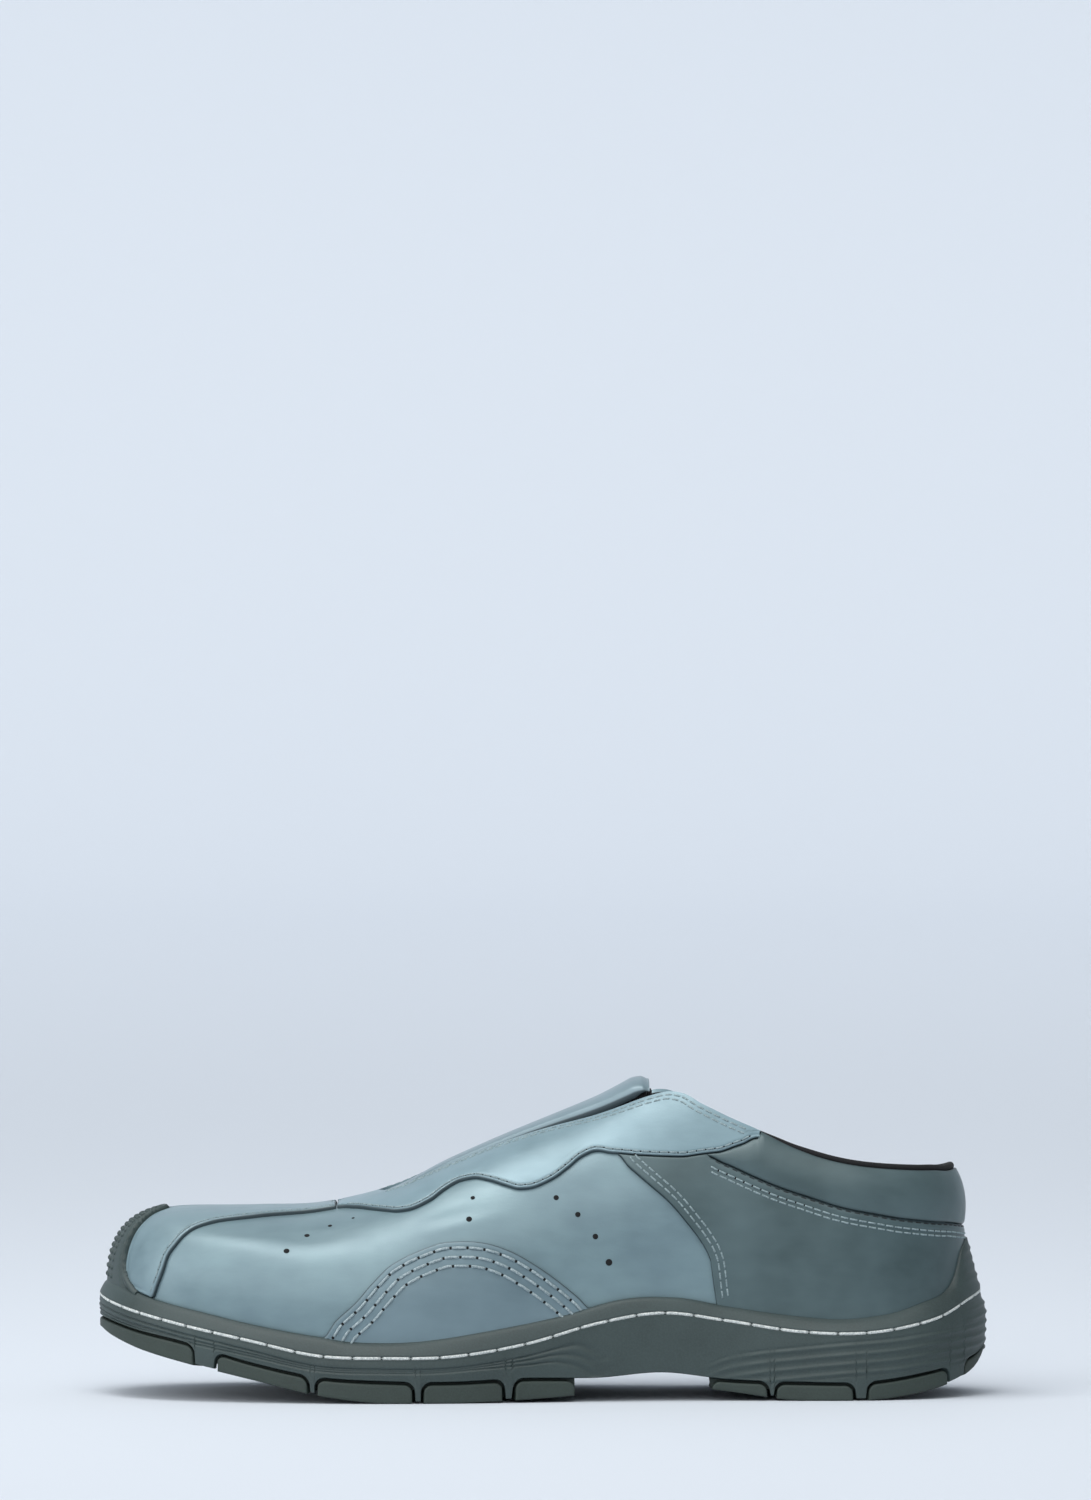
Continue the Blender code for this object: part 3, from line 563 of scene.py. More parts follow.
def mixColour(tree, factor, first, second, mode="MIX"):
    node = tree.nodes.new("ShaderNodeMix")
    node.data_type = "RGBA"
    node.blend_type = mode
    colourInputs = [item for item in node.inputs if item.type == "RGBA"]
    for value, socket in ((factor, node.inputs[0]), (first, colourInputs[0]), (second, colourInputs[1])):
        if isinstance(value, (int, float, list, tuple)):
            socket.default_value = value
        else:
            tree.links.new(value, socket)
    return [item for item in node.outputs if item.type == "RGBA"][0]


def addBump(tree, shader, heights):
    # stacks bumps, coarse to fine: (height output, strength, distance in metres)
    last = None
    for height, strength, distance in heights:
        bump = tree.nodes.new("ShaderNodeBump")
        bump.inputs["Strength"].default_value = strength
        bump.inputs["Distance"].default_value = distance
        tree.links.new(height, bump.inputs["Height"])
        if last is not None:
            tree.links.new(last, bump.inputs["Normal"])
        last = bump.outputs["Normal"]
    tree.links.new(last, shader.inputs["Normal"])


def leatherMaterial(name, colour, dark, roughness=0.36, metallic=0.2):
    material, tree, shader, place = nodeMaterial(name)
    cloud = addNoise(tree, place, 28.0, 3.0)
    streak = addNoise(tree, place, 260.0, 3.0, (0.35, 1.0, 1.0))
    grain = addNoise(tree, place, 1500.0, 3.0)
    base = mixColour(tree, mapRange(tree, cloud, 0.32, 0.7, 0.0, 1.0), linear(dark), linear(colour))
    streaky = mapRange(tree, streak, 0.3, 0.75, 0.0, 0.16)
    pale = [min(1.0, c * 1.35) for c in linear(colour)[:3]] + [1.0]
    base = mixColour(tree, streaky, base, pale)
    # darker towards a panel's cut edge: partly the dark inked edge of the leather, partly painted shade of
    # the step down into the seam
    edge = tree.nodes.new("ShaderNodeAttribute")
    edge.attribute_name = "edge"
    edgeInkAndShade = mapRange(tree, edge.outputs["Fac"], 0.0, 1.0, 0.0, 0.85)
    base = mixColour(tree, edgeInkAndShade, base, linear((28, 38, 42)))
    tree.links.new(base, shader.inputs["Base Color"])
    rough = mapRange(tree, streak, 0.25, 0.8, roughness - 0.05, roughness + 0.10)
    tree.links.new(rough, shader.inputs["Roughness"])
    shader.inputs["Metallic"].default_value = metallic
    shader.inputs["Coat Weight"].default_value = 0.12
    shader.inputs["Coat Roughness"].default_value = 0.35
    addBump(tree, shader, ((cloud, 0.25, 0.0012), (streak, 0.22, 0.00025), (grain, 0.25, 0.00008)))
    return material


def rubberMaterial(name, colour, dark, roughness=0.55):
    material, tree, shader, place = nodeMaterial(name)
    cloud = addNoise(tree, place, 40.0, 4.0)
    grain = addNoise(tree, place, 1700.0, 2.0)
    base = mixColour(tree, mapRange(tree, cloud, 0.3, 0.7, 0.0, 1.0), linear(dark), linear(colour))
    speck = mapRange(tree, grain, 0.35, 0.7, 0.0, 0.25)
    base = mixColour(tree, speck, base, [min(1.0, c * 1.5) for c in linear(colour)[:3]] + [1.0])
    tree.links.new(base, shader.inputs["Base Color"])
    rough = mapRange(tree, cloud, 0.3, 0.7, roughness - 0.06, roughness + 0.06)
    tree.links.new(rough, shader.inputs["Roughness"])
    addBump(tree, shader, ((cloud, 0.15, 0.0008), (grain, 0.35, 0.00012)))
    return material


def threadMaterial(name, colour, dark):
    material, tree, shader, place = nodeMaterial(name)
    twist = addNoise(tree, place, 1800.0, 2.0)
    base = mixColour(tree, mapRange(tree, twist, 0.35, 0.65, 0.0, 1.0), linear(dark), linear(colour))
    tree.links.new(base, shader.inputs["Base Color"])
    shader.inputs["Roughness"].default_value = 0.7
    addBump(tree, shader, ((twist, 0.6, 0.0002),))
    return material


def fabricMaterial(name, colour, ribs=0.0):
    material, tree, shader, place = nodeMaterial(name)
    weave = addNoise(tree, place, 1400.0, 3.0)
    pale = linear([c * 1.6 for c in colour])
    base = mixColour(tree, mapRange(tree, weave, 0.3, 0.7, 0.0, 1.0), linear(colour), pale)
    tree.links.new(base, shader.inputs["Base Color"])
    shader.inputs["Roughness"].default_value = 0.9
    heights = [(weave, 0.5, 0.0002)]
    if ribs:
        wave = tree.nodes.new("ShaderNodeTexWave")
        wave.wave_type = "BANDS"
        wave.bands_direction = "X"
        wave.inputs["Scale"].default_value = ribs
        tree.links.new(place.outputs["Object"], wave.inputs["Vector"])
        heights.insert(0, (wave.outputs["Fac"], 0.9, 0.0006))
    addBump(tree, shader, heights)
    return material


leathers = {
    "vamp": leatherMaterial("vampLeather", (122, 147, 154), (104, 127, 136)),
    "toe": leatherMaterial("toeLeather", (128, 152, 160), (110, 134, 143)),
    "saddle": leatherMaterial("saddleLeather", (132, 158, 168), (108, 134, 143)),
    "wing": leatherMaterial("wingLeather", (116, 138, 147), (100, 122, 131)),
    "quarter": leatherMaterial("quarterLeather", (84, 104, 108), (60, 79, 82), 0.42, 0.2),
    "collar": leatherMaterial("collarLeather", (84, 104, 108), (62, 81, 84), 0.42, 0.2),
    "strap": leatherMaterial("strapLeather", (126, 147, 156), (108, 129, 138)),
}
soleRubber = rubberMaterial("soleRubber", (58, 72, 72), (46, 59, 59))
treadRubber = rubberMaterial("treadRubber", (52, 64, 60), (42, 53, 49), 0.65)
paleThread = threadMaterial("paleThread", (222, 226, 224), (168, 177, 177))
wingThread = threadMaterial("wingThread", (170, 185, 189), (120, 138, 144))
toneThread = threadMaterial("toneThread", (150, 168, 172), (110, 128, 133))
darkThread = threadMaterial("darkThread", (28, 34, 38), (14, 17, 20))
blackFabric = fabricMaterial("blackLining", (12, 13, 15))
elastic = fabricMaterial("ribbedElastic", (20, 21, 24), 420.0)
pitBlack = fabricMaterial("holeShadow", (8, 10, 12))
print("materials ready")

# Vamp and quarters: the leather wall and its lining
upperSpec = {"leatherWall": 0.0011, "rows": 54, "perStation": 10}


def upperRelief(station, way):
    # soft swells and creases of the vamp
    place = foldStation(station)
    creases = (
        (6.9, 0.50, 0.35, 0.030, -0.00045),  # station, way, length in stations, width in ways, depth
        (7.25, 0.43, 0.50, 0.030, 0.00030),
        (9.2, 0.42, 0.70, 0.050, -0.00035),
        (3.6, 0.52, 1.10, 0.120, 0.00045),
        (4.9, 0.60, 0.80, 0.060, -0.00030),
    )
    out = np.zeros(np.broadcast(station, way).shape)
    for s, w, long, wide, depth in creases:
        lean = (place - s) * 0.03
        out = out + depth * np.exp(-((place - s) / long) ** 2 - ((way - w + lean) / wide) ** 2)
    return out


def makeUpper():
    columns = upperSpec["perStation"] * lap
    rows = upperSpec["rows"]
    station = np.linspace(0, lap, columns + 1)
    top = seamAt("topline", station)
    top = np.where(foldStation(station) < 5.88, 1.0, top)
    share = np.linspace(0, 1, rows + 1)
    way = top[:, None] * share[None, :]
    stations = np.broadcast_to(station[:, None], way.shape)
    layers = []
    for outer, inner in ((0.0, -upperSpec["leatherWall"]), (-upperSpec["leatherWall"], -shoe["wall"])):
        relief = upperRelief(stations, way) if outer == 0.0 else 0.0
        high = skinAt(stations, way, np.full(way.shape, outer) + relief)
        low = skinAt(stations, way, np.full(way.shape, inner))
        bm = gridOf(columns, rows, True)
        onCrest = top > 0.9995
        dropWalls(bm, lambda co: round(co.y) == rows and onCrest[round(co.x)])
        dropWalls(bm, lambda co: round(co.x) == 0)
        dropWalls(bm, lambda co: round(co.x) == columns)
        layers.append(shapeGrid(bm, np.stack([low, high], axis=2), np.zeros(way.shape)))
    makePiece(layers[0], "vampAndQuarters", leathers["vamp"], "upper", ("upper",))
    makePiece(layers[1], "lining", blackFabric, "gore", ())


makeUpper()
print("upper ready")

# Overlays
toeSpec = {
    "seat": 0.0001, "wall": 0.0014, "round": 0.0009, "stitches": (0.0016,), "rows": 22,
    "match": ((0.0, 0.0), (0.20, 0.07), (0.40, 0.16), (0.62, 0.42), (0.94, 0.985), (1.0, 1.0)),
}
saddleSpec = {
    "seat": 0.0001, "wall": 0.0014, "round": 0.0009, "stitches": (0.0012,), "rows": 14,
    "match": ((0.0, 0.0), (0.045, 0.02), (1.0, 1.0)),
}
wingSpec = {"seat": 0.0001, "wall": 0.0014, "round": 0.0009, "stitches": (0.0024,), "rows": 14}
quarterSpec = {"seat": 0.0001, "wall": 0.0014, "round": 0.0009, "stitches": (), "rows": 30}
collarSpec = {"seat": 0.0001, "wall": 0.0014, "round": 0.0009, "stitches": (), "rows": 20}


def underSaddle(station):
    return np.where(foldStation(station) < 11.45, seamAt("saddle", station), seamAt("topline", station))


def toePanelCurve():
    bumper = seamCurve("bumper", 0.0, 1.30)
    bumper[:, 1] = bumper[:, 1] + 0.004
    rim = seamCurve("rim", 1.30, 2.12)
    toe = seamCurve("toe", 2.12, 5.235)
    end = lineCurve((5.235, float(toe[-1, 1])), (5.235, 1.0))
    return np.concatenate([bumper, rim[1:], toe[1:], end[1:]])


def makeToePanel():
    low = toePanelCurve()
    run = lengthsAlong(lastAt(low[:, 0], low[:, 1]))
    corners = [run[k] / run[-1] for k in (600, 1199, len(run) - 60)]
    crest = np.stack([np.linspace(0, 5.235, 200), np.ones(200)], axis=-1)
    halves = [panelGrid(low, crest, toeSpec, True, corners, "first")]
    other = dict(toeSpec)
    other["match"] = tuple((1 - a, 1 - b) for a, b in reversed(toeSpec["match"]))
    halves.append(panelGrid(mirrored(low), mirrored(crest), other, True, [1 - c for c in corners], "last"))
    makePiece(joinMeshes(halves), "toePanel", leathers["toe"], "toe_panel", ("toe_panel",), merge=2e-6)


def saddleCurves():
    front = lineCurve((5.257, 1.0), (5.257, float(seamAt("saddle", 5.257))))
    wave = seamCurve("saddle", 5.257, 11.45)
    low = np.concatenate([front, wave[1:]])
    crest = np.stack([np.linspace(5.257, 5.88, 40), np.ones(40)], axis=-1)
    top = seamCurve("topline", 5.88, 11.47)
    top[:, 1] -= 0.002
    top[0, 1] = 1.0
    return low, np.concatenate([crest, top[1:]])


def makeSaddle():
    low, high = saddleCurves()
    halves = []
    for side in (0, 1):
        spec = dict(saddleSpec)
        lowCurve, highCurve = (low, high) if side == 0 else (mirrored(low), mirrored(high))
        if side == 1:
            spec["match"] = tuple((1 - a, 1 - b) for a, b in reversed(saddleSpec["match"]))
        halves.append(panelGrid(lowCurve, highCurve, spec, True))
    makePiece(joinMeshes(halves), "saddle", leathers["saddle"], "saddle", ("saddle",), merge=2e-6)


def makeWings():
    for name, side in (("wingLateral", 0), ("wingMedial", 1)):
        top = seamCurve("wing", 5.05, 8.95)
        bottom = seamCurve("rim", 5.05, 8.95)
        bottom[:, 1] -= 0.006
        if side:
            top, bottom = mirrored(top), mirrored(bottom)
        # the rows leave the arch squarely and end inside the rim
        bm = archPanel(top[::-1], bottom[::-1], wingSpec)
        node = "wing_lateral" if side == 0 else "wing_medial"
        makePiece(bm, name, leathers["wing"], node, (node,))


def archPanel(arch, base, spec):
    count = max(8, int(lengthsAlong(lastAt(arch[:, 0], arch[:, 1]))[-1] / 0.0009))
    edge = evenly(arch, count)
    foot = evenly(base, count)
    inward = inwardOf(edge, 1)
    span = np.linalg.norm(lastAt(edge[:, 0], edge[:, 1]) - lastAt(foot[:, 0], foot[:, 1]), axis=1)
    reach = np.clip(0.8 * span / edgeSteps[-1], 0.01, 1.0)
    places, distances = [], []
    for step in edgeSteps:
        places.append(moveOn(edge, inward, step * reach))
        distances.append(step * reach)
    inner = spec["rows"]
    for k in range(1, inner + 1):
        t = k / inner
        places.append(places[len(edgeSteps) - 1] * (1 - t) + foot * t)
        distances.append(edgeSteps[-1] * reach + span * t)
    place = np.stack(places, axis=1)
    distance = np.stack(distances, axis=1)
    out = spec["seat"] + edgeRise(distance, spec)
    top = skinAt(place[..., 0], place[..., 1], out)
    under = skinAt(place[..., 0], place[..., 1], np.full(distance.shape, spec["seat"] - 0.0002))
    bm = gridOf(place.shape[0] - 1, place.shape[1] - 1, True)
    # darkening at the cut edge: inked edge and painted shade of the step into the seam
    return shapeGrid(bm, np.stack([under, top], axis=2), np.exp(-(distance / 0.00045) ** 2))


def columnPanel(low, high, spec, wallOf=None):
    # leather in columns from a low to a high edge at the same stations
    station = low[:, 0]
    rows = spec["rows"]
    base = np.array([0, 0.15, 0.35, 0.6, 1.0, 1.5]) * 0.001
    span = np.linalg.norm(lastAt(station, low[:, 1]) - lastAt(station, high[:, 1]), axis=1)
    shares = []
    for step in base:
        shares.append(np.minimum(step / np.maximum(span, 1e-6), 0.3))
    for k in range(1, rows):
        shares.append(shares[5] + (1 - 2 * shares[5]) * k / rows)
    for step in reversed(base):
        shares.append(1 - np.minimum(step / np.maximum(span, 1e-6), 0.3))
    share = np.stack(shares, axis=1)
    way = low[:, 1][:, None] * (1 - share) + high[:, 1][:, None] * share
    stations = np.broadcast_to(station[:, None], way.shape)
    distance = np.minimum(share, 1 - share) * span[:, None]
    out = spec["seat"] + roundedWall(distance, spec)
    if wallOf is not None:
        out = out + wallOf(stations, share, span[:, None])
    top = skinAt(stations, way, out)
    under = skinAt(stations, way, np.full(way.shape, spec["seat"] - 0.0002))
    bm = gridOf(way.shape[0] - 1, way.shape[1] - 1, True)
    # darkening at the cut edges: inked edge and painted shade of the step into the seam
    return shapeGrid(bm, np.stack([under, top], axis=2), np.exp(-(distance / 0.0004) ** 2))


def evenStations(start, spacing=0.0011):
    station = np.linspace(start, lap - start, 3000)
    run = lengthsAlong(lastAt(station, 0.3))
    return np.interp(np.linspace(0, run[-1], int(run[-1] / spacing)), run, station)


def makeQuarter():
    station = evenStations(9.34)
    place = foldStation(station)
    low = np.where(place < 10.85, seamAt("quarter", station), seamAt("rim", station) - 0.006)
    saddle = seamAt("saddle", station)
    high = np.where(place < 10.72, saddle, np.minimum(saddle, seamAt("collar", station)))
    lowCurve = np.stack([station, low], axis=-1)
    highCurve = np.stack([station, np.maximum(high - 0.001, low + 0.002)], axis=-1)

    def relief(stations, share, span):
        below = (1 - share) * span
        rows = 0.0
        seamed = foldStation(stations) > 10.7
        for row in (0.0007, 0.0029, 0.0044):
            rows = rows - 0.0002 * np.exp(-((below - row) / 0.0005) ** 2) * seamed
        return rows

    bm = columnPanel(lowCurve, highCurve, quarterSpec, relief)
    makePiece(bm, "quarter", leathers["quarter"], "quarter", ("quarter",))


def makeCollarBand():
    station = evenStations(10.72)
    low = seamAt("collar", station)
    lining = 0.012 * np.clip((foldStation(station) - 11.45) / 0.8, 0, 1)
    high = underSaddle(station) - lining - 0.001
    lowCurve = np.stack([station, low + 0.001], axis=-1)
    highCurve = np.stack([station, np.maximum(high, low + 0.002)], axis=-1)

    def padding(stations, share, span):
        fade = np.clip((foldStation(stations) - 10.72) / 0.6, 0, 1)
        return 0.0013 * np.sin(math.pi * np.clip(share * 1.08 - 0.02, 0, 1)) ** 0.8 * fade

    bm = columnPanel(lowCurve, highCurve, collarSpec, padding)
    makePiece(bm, "collarBand", leathers["collar"], "collar_band", ("collar_band",))
    # black lining rolled over the collar's edge
    station = evenStations(5.9, 0.0015)
    top = seamAt("topline", station)
    angle = np.linspace(0, 2 * math.pi, 13)
    radius = 0.0011 * np.clip((foldStation(station) - 10.9) / 0.8, 0.35, 1.0)
    center = skinAt(station, top - 0.004, -0.0004 + 0 * top)
    normal = normalAt(station, top)
    upward = unit(lastAt(station, np.minimum(top + 0.004, 1.0)) - lastAt(station, top - 0.004))
    ring = np.cos(angle)[None, :, None] * normal[:, None] + np.sin(angle)[None, :, None] * upward[:, None]
    points = center[:, None] + ring * radius[:, None, None] * 1.15
    bm = gridOf(len(station) - 1, 12)
    makePiece(shapeGrid(bm, points[:, :, None]), "collarRoll", blackFabric, "gore")


makeToePanel()
makeSaddle()
makeWings()
makeQuarter()
makeCollarBand()
print("overlays ready")


# Strap, its elastic and the gore
strapSpec = {
    "rise": 0.0036, "leather": 0.0024, "columns": 90, "rows": 26,
    "top": ((6.05, 0.2), (7.0, 0.52), (8.0, 0.62), (9.0, 1.0), (9.6, 1.0), (9.75, 0.72), (9.83, 0.20)),
    "bottom": ((6.05, 1.0), (9.6, 1.0), (9.75, 0.7), (9.83, 0.15)),
}


def crossingGrid(station, edgeWay, under, over, rows):
    # sheet from the lateral edge over the crest to the medial edge
    across = np.linspace(-1, 1, rows + 1)
    across = np.sign(across) * (1 - (1 - np.abs(across)) ** 1.35)
    way = 1 - (1 - edgeWay[:, None]) * np.abs(across)[None, :]
    lateral = across <= 0
    stations = np.where(lateral[None, :], station[:, None], lap - station[:, None])
    layers = [skinAt(stations, way, out(station[:, None], across[None, :])) for out in (under, over)]
    bm = gridOf(len(station) - 1, rows, True)
    return bm, np.stack(layers, axis=2), across


def makeStrap():
    station = np.concatenate([np.linspace(6.06, 9.55, 80), np.linspace(9.57, 9.83, 18)])
    edgeWay = smoothThrough(seams["strapEdge"], station)

    def topOf(s, across):
        rise = smoothThrough(strapSpec["top"], s) * strapSpec["rise"]
        return rise * (1 - 0.35 * across ** 4) - 0.0009 * np.clip((np.abs(across) - 0.86) / 0.14, 0, 1) ** 2

    def leatherUnder(s, across):
        thick = strapSpec["leather"] * np.clip((9.86 - s) / 0.25, 0.25, 1)
        return topOf(s, across) - thick + 0.0006 * np.clip((np.abs(across) - 0.86) / 0.14, 0, 1) ** 2

    bm, points, across = crossingGrid(station, edgeWay, leatherUnder, topOf, strapSpec["rows"])
    # the strap's side edges darkened: inked cut edge and painted shade where it steps down
    shade = np.zeros(points.shape[:2])
    shade[:, (0, -1)] = 0.8
    makePiece(shapeGrid(bm, points, shade), "strap", leathers["strap"], "strap", ("strap",), smooth=60)

    def elasticTop(s, across):
        return topOf(s, across) - strapSpec["leather"] * 0.9

    def elasticUnder(s, across):
        return -0.0021 * smoothThrough(strapSpec["bottom"], s) + 0 * across

    station = np.concatenate([np.linspace(6.1, 9.5, 60), np.linspace(9.52, 9.76, 10)])
    edgeWay = smoothThrough(seams["strapEdge"], station) + 0.008
    bm, points, across = crossingGrid(station, edgeWay, elasticUnder, elasticTop, 16)
    makePiece(shapeGrid(bm, points), "strapElastic", elastic, "gore")

    station = np.linspace(5.7, 9.8, 90)
    edgeWay = np.minimum(seamAt("topline", station), 0.93) - 0.035
    sheet = -shoe["wall"] - 2 * shoe["gap"]
    bm, points, across = crossingGrid(
        station, edgeWay, lambda s, a: sheet - 0.001 + 0 * s * a, lambda s, a: sheet + 0 * s * a, 30
    )
    makePiece(shapeGrid(bm, points), "gore", elastic, "gore", ("gore",))


makeStrap()
print("strap ready")


# Insole
def makeInsole():
    stations = np.linspace(0, heelStation, 161)
    inset = shoe["wall"] + 2 * shoe["gap"]
    floorStation = np.linspace(0, heelStation, 400)
    floorX = outlineAt(floorStation, shoe["gap"] + 0 * floorStation)[:, 0]
    floorZ = featherAt(floorStation)[:, 2]
    across = np.linspace(0, 1, 25)
    layers = []
    for rise in (0.0, 0.0033):
        lateral = outlineAt(stations, -inset + 0 * stations)
        medial = outlineAt(lap - stations, -inset + 0 * stations)
        points = lateral[:, None] * (1 - across)[None, :, None] + medial[:, None] * across[None, :, None]
        z = np.interp(points[..., 0], floorX, floorZ)
        cup = 0.0 if rise == 0.0 else -0.0012 * (1 - (2 * across - 1) ** 4)
        points[..., 2] = z + rise + cup
        layers.append(points)
    bm = gridOf(160, 24, True)
    makePiece(shapeGrid(bm, np.stack(layers, axis=2)), "insole", blackFabric, "insole", ("insole",))


makeInsole()

# Sole
soleSpec = {
    "perStation": 12, "sideRows": 56, "ribPitch": 0.0031, "ribDepth": 0.0005,
    "stitchGroove": (  # height over the stitches, then how deep it is cut
        (0.0006, 0.0), (0.00045, 0.0006), (0.0002, 0.00095), (-0.0002, 0.00095), (-0.00045, 0.0006),
        (-0.0006, 0.0), (-0.0009, -0.0001),
    ),
    "firstRib": ((10.5, 0.0105), (11.0, 0.0138), (11.5, 0.0158), (12.0, 0.0170), (12.6, 0.0183),
                 (13.4, 0.0197), (14.0, 0.0214), (15.0, 0.0232), (16.0, 0.0246)),
    "fineLines": (  # station, then the depth of three grooves below the stitches
        (0.0, 0.0026, 0.0043, 0.0055), (3.0, 0.0029, 0.0043, 0.0053), (5.0, 0.0036, 0.0043, 0.0050),
        (7.0, 0.0039, 0.0045, 0.0051), (8.3, 0.0043, 0.0060, 0.0080), (8.65, 0.0050, 0.0083, 0.0115),
        (8.9, 0.0080, 0.0120, 0.0160), (9.1, 0.0125, 0.0170, 0.0210), (9.2, 0.0165, 0.0210, 0.0250),
    ),
}


def sideRelief(station, z, stitch):
    # raised ribs round the heel and fine grooves round the forefoot
    place = foldStation(station)
    first = smoothThrough(soleSpec["firstRib"], place)
    phase = (first - z) / soleSpec["ribPitch"]
    ridge = (0.5 + 0.5 * np.cos(2 * math.pi * phase)) ** 2
    heel = np.clip((place - 10.6) / 0.6, 0, 1)
    aboveFirst = np.clip((z - first - 0.0012) / 0.0004, 0, 1) * np.clip((15.3 - place) / 0.5, 0, 1)
    belowLast = np.clip((phase - 3.35) / 0.2, 0, 1)
    nearStitch = np.clip((np.abs(z - stitch) - 0.0011) / 0.0006, 0, 1)
    amount = soleSpec["ribDepth"] * heel * (1 - aboveFirst) * (1 - belowLast) * nearStitch
    out = amount * (ridge - 0.45)
    fore = np.clip((9.22 - place) / 0.1, 0, 1)
    table = soleSpec["fineLines"]
    for k in (1, 2, 3):
        depth = smoothThrough([(row[0], row[k]) for row in table], place)
        slope = 1 + 2.2 * np.clip((place - 8.3) / 0.6, 0, 1)
        out = out - 0.00050 * fore * np.exp(-((stitch - z - depth) / (0.00034 * slope)) ** 2)
    return out


lugSpans = (
    (3.50, 4.85), (5.00, 6.40), (6.57, 7.68), (7.86, 8.68), (10.77, 11.55), (11.68, 12.78), (13.00, 14.30),
)
lugSpec = {
    "corner": 0.0028, "gap": 0.0010, "depth": 0.0150, "inset": 0.0003, "toeEnd": 3.10, "heelStart": 14.75,
    "soft": 0.0006,
}


def outlineRun():
    # length along the sole's outline at each station
    points = outlineAt(everyStation, tableAt("flare", everyStation) * shoe["soleFlare"])
    points[:, 2] = 0.0
    return lengthsAlong(points)


outlineLengths = None


def runAt(station):
    return np.interp(station, everyStation, outlineLengths)


def lowEdge(station, under, ground):
    # lower edge of the side wall: over the lugs it is the underside, between them it comes down
    place = foldStation(station)
    run = runAt(place)
    spans = ((-3.10, 3.10),) + lugSpans + ((14.75, 17.25),)
    corner, gap = lugSpec["corner"], lugSpec["gap"]
    low = np.array(under)
    for (_, end), (start, _) in zip(spans, spans[1:]):
        if end == 8.68:
            continue  # bare waist
        between = np.minimum(run - runAt(end), runAt(start) - run) + corner
        arch = under - gap - corner + np.sqrt(np.maximum((corner + gap) ** 2 - between ** 2, 0.0))
        inside = (run > runAt(end) - corner) & (run < runAt(start) + corner)
        floor = ground + 0.0007
        down = np.where(between < corner + gap, np.maximum(arch, floor), floor)
        low = np.where(inside & (between > 0), np.minimum(low, down), low)
    return low


def soleStations():
    # even steps round the sole, finer where a lug ends
    fine = []
    for edge in [edge for span in lugSpans for edge in span] + [lugSpec["toeEnd"], lugSpec["heelStart"]]:
        fine.extend(np.arange(edge - 0.22, edge + 0.22, 0.018))
    even = np.linspace(0, heelStation, soleSpec["perStation"] * heelStation + 1)
    half = np.unique(np.round(np.concatenate([even, fine]), 4))
    half = half[np.concatenate([[True], np.diff(half) > 0.006])]
    return np.concatenate([half, lap - half[-2::-1]])


def soleProfile(station):
    # rings of the cup sole: floor, cup wall, lip, stitch groove, side and underside
    size = soleSpec
    ground = tableAt("ground", station) * shoe["seatHeight"]
    flare = tableAt("flare", station) * shoe["soleFlare"]
    line = flare - tableAt("tuck", station) * shoe["soleFlare"]
    stitch = tableAt("stitch", station) * shoe["seatHeight"]
    under = tableAt("under", station) * shoe["seatHeight"]
    rim = seamAt("rim", station)
    foot = featherAt(station)
    rings = []
    floor = outlineAt(station, shoe["gap"] + 0 * station)
    floor[:, 2] = foot[:, 2] - shoe["gap"]
    rings.append(floor)
    for share in (0.33, 0.66, 0.93, 0.985):
        rings.append(skinAt(station, rim * share, shoe["gap"] + 0 * station))
    for out, drop in ((0.0005, 0.0), (0.0010, -0.00005), (0.0016, -0.00025), (0.0020, -0.0006)):
        point = skinAt(station, rim, shoe["gap"] + out + 0 * station)
        point[:, 2] += drop
        rings.append(point)
    lipZ = rings[-1][:, 2]
    lipOut = shoe["gap"] + 0.0020
    top = stitch + 0.0009
    for share in np.linspace(0.12, 1.0, 14):
        z = lipZ + (top - lipZ) * share
        tall = np.clip((lipZ - top - 0.006) / 0.006, 0, 1)
        eased = share ** (0.75 + 0.35 * tall)
        out = lipOut + (line - lipOut) * eased
        spur = np.clip((foldStation(station) - 14.8) / 0.4, 0, 1) * (share < 0.97)
        out = out + sideRelief(station, z, stitch) * spur
        point = outlineAt(station, out)
        lean = skinAt(station, np.minimum(rim, 0.12), 0 * station)
        base = featherAt(station)
        shift = (lean - base) * (1 - share)
        point[:, 0] += shift[:, 0]
        point[:, 1] += shift[:, 1]
        point[:, 2] = z
        rings.append(point)
    for dz, cut in soleSpec["stitchGroove"]:
        point = outlineAt(station, line - cut)
        point[:, 2] = stitch + dz
        rings.append(point)
    below = stitch - 0.0009
    low = lowEdge(station, under, np.maximum(ground, 0.0))
    for share in np.linspace(0.02, 1.0, size["sideRows"]):
        z = below + (low + 0.0008 - below) * share
        bow = np.sin(np.clip(share * 2.2, 0, 1) * math.pi / 2)
        out = line + (flare - line) * bow - 0.0003 * share ** 4
        out = out + sideRelief(station, z, stitch)
        point = outlineAt(station, out)
        point[:, 2] = z
        rings.append(point)
    for out, rise in ((0.0003, 0.0003), (0.0007, 0.0001), (0.0012, 0.0), (0.0034, 0.0)):
        point = outlineAt(station, flare - out)
        point[:, 2] = low + rise
        rings.append(point)
    point = outlineAt(station, flare - 0.0037)
    point[:, 2] = under
    rings.append(point)
    return rings


def makeMidsole():
    station = soleStations()
    columns = len(station) - 1
    rings = soleProfile(station)
    other = soleProfile(lap - station)
    for end in (0, -1):
        spine = (rings[end] + other[end]) / 2
        if end == 0:
            rings.insert(0, spine)
            other.insert(0, spine)
        else:
            rings.append(spine)
    points = np.stack(rings, axis=1)
    bm = gridOf(columns, len(rings) - 1)
    parts = [shapeGrid(bm, points[:, :, None]), bumperShell()]
    makePiece(joinMeshes(parts), "midsole", soleRubber, "midsole", ("midsole",), smooth=50)


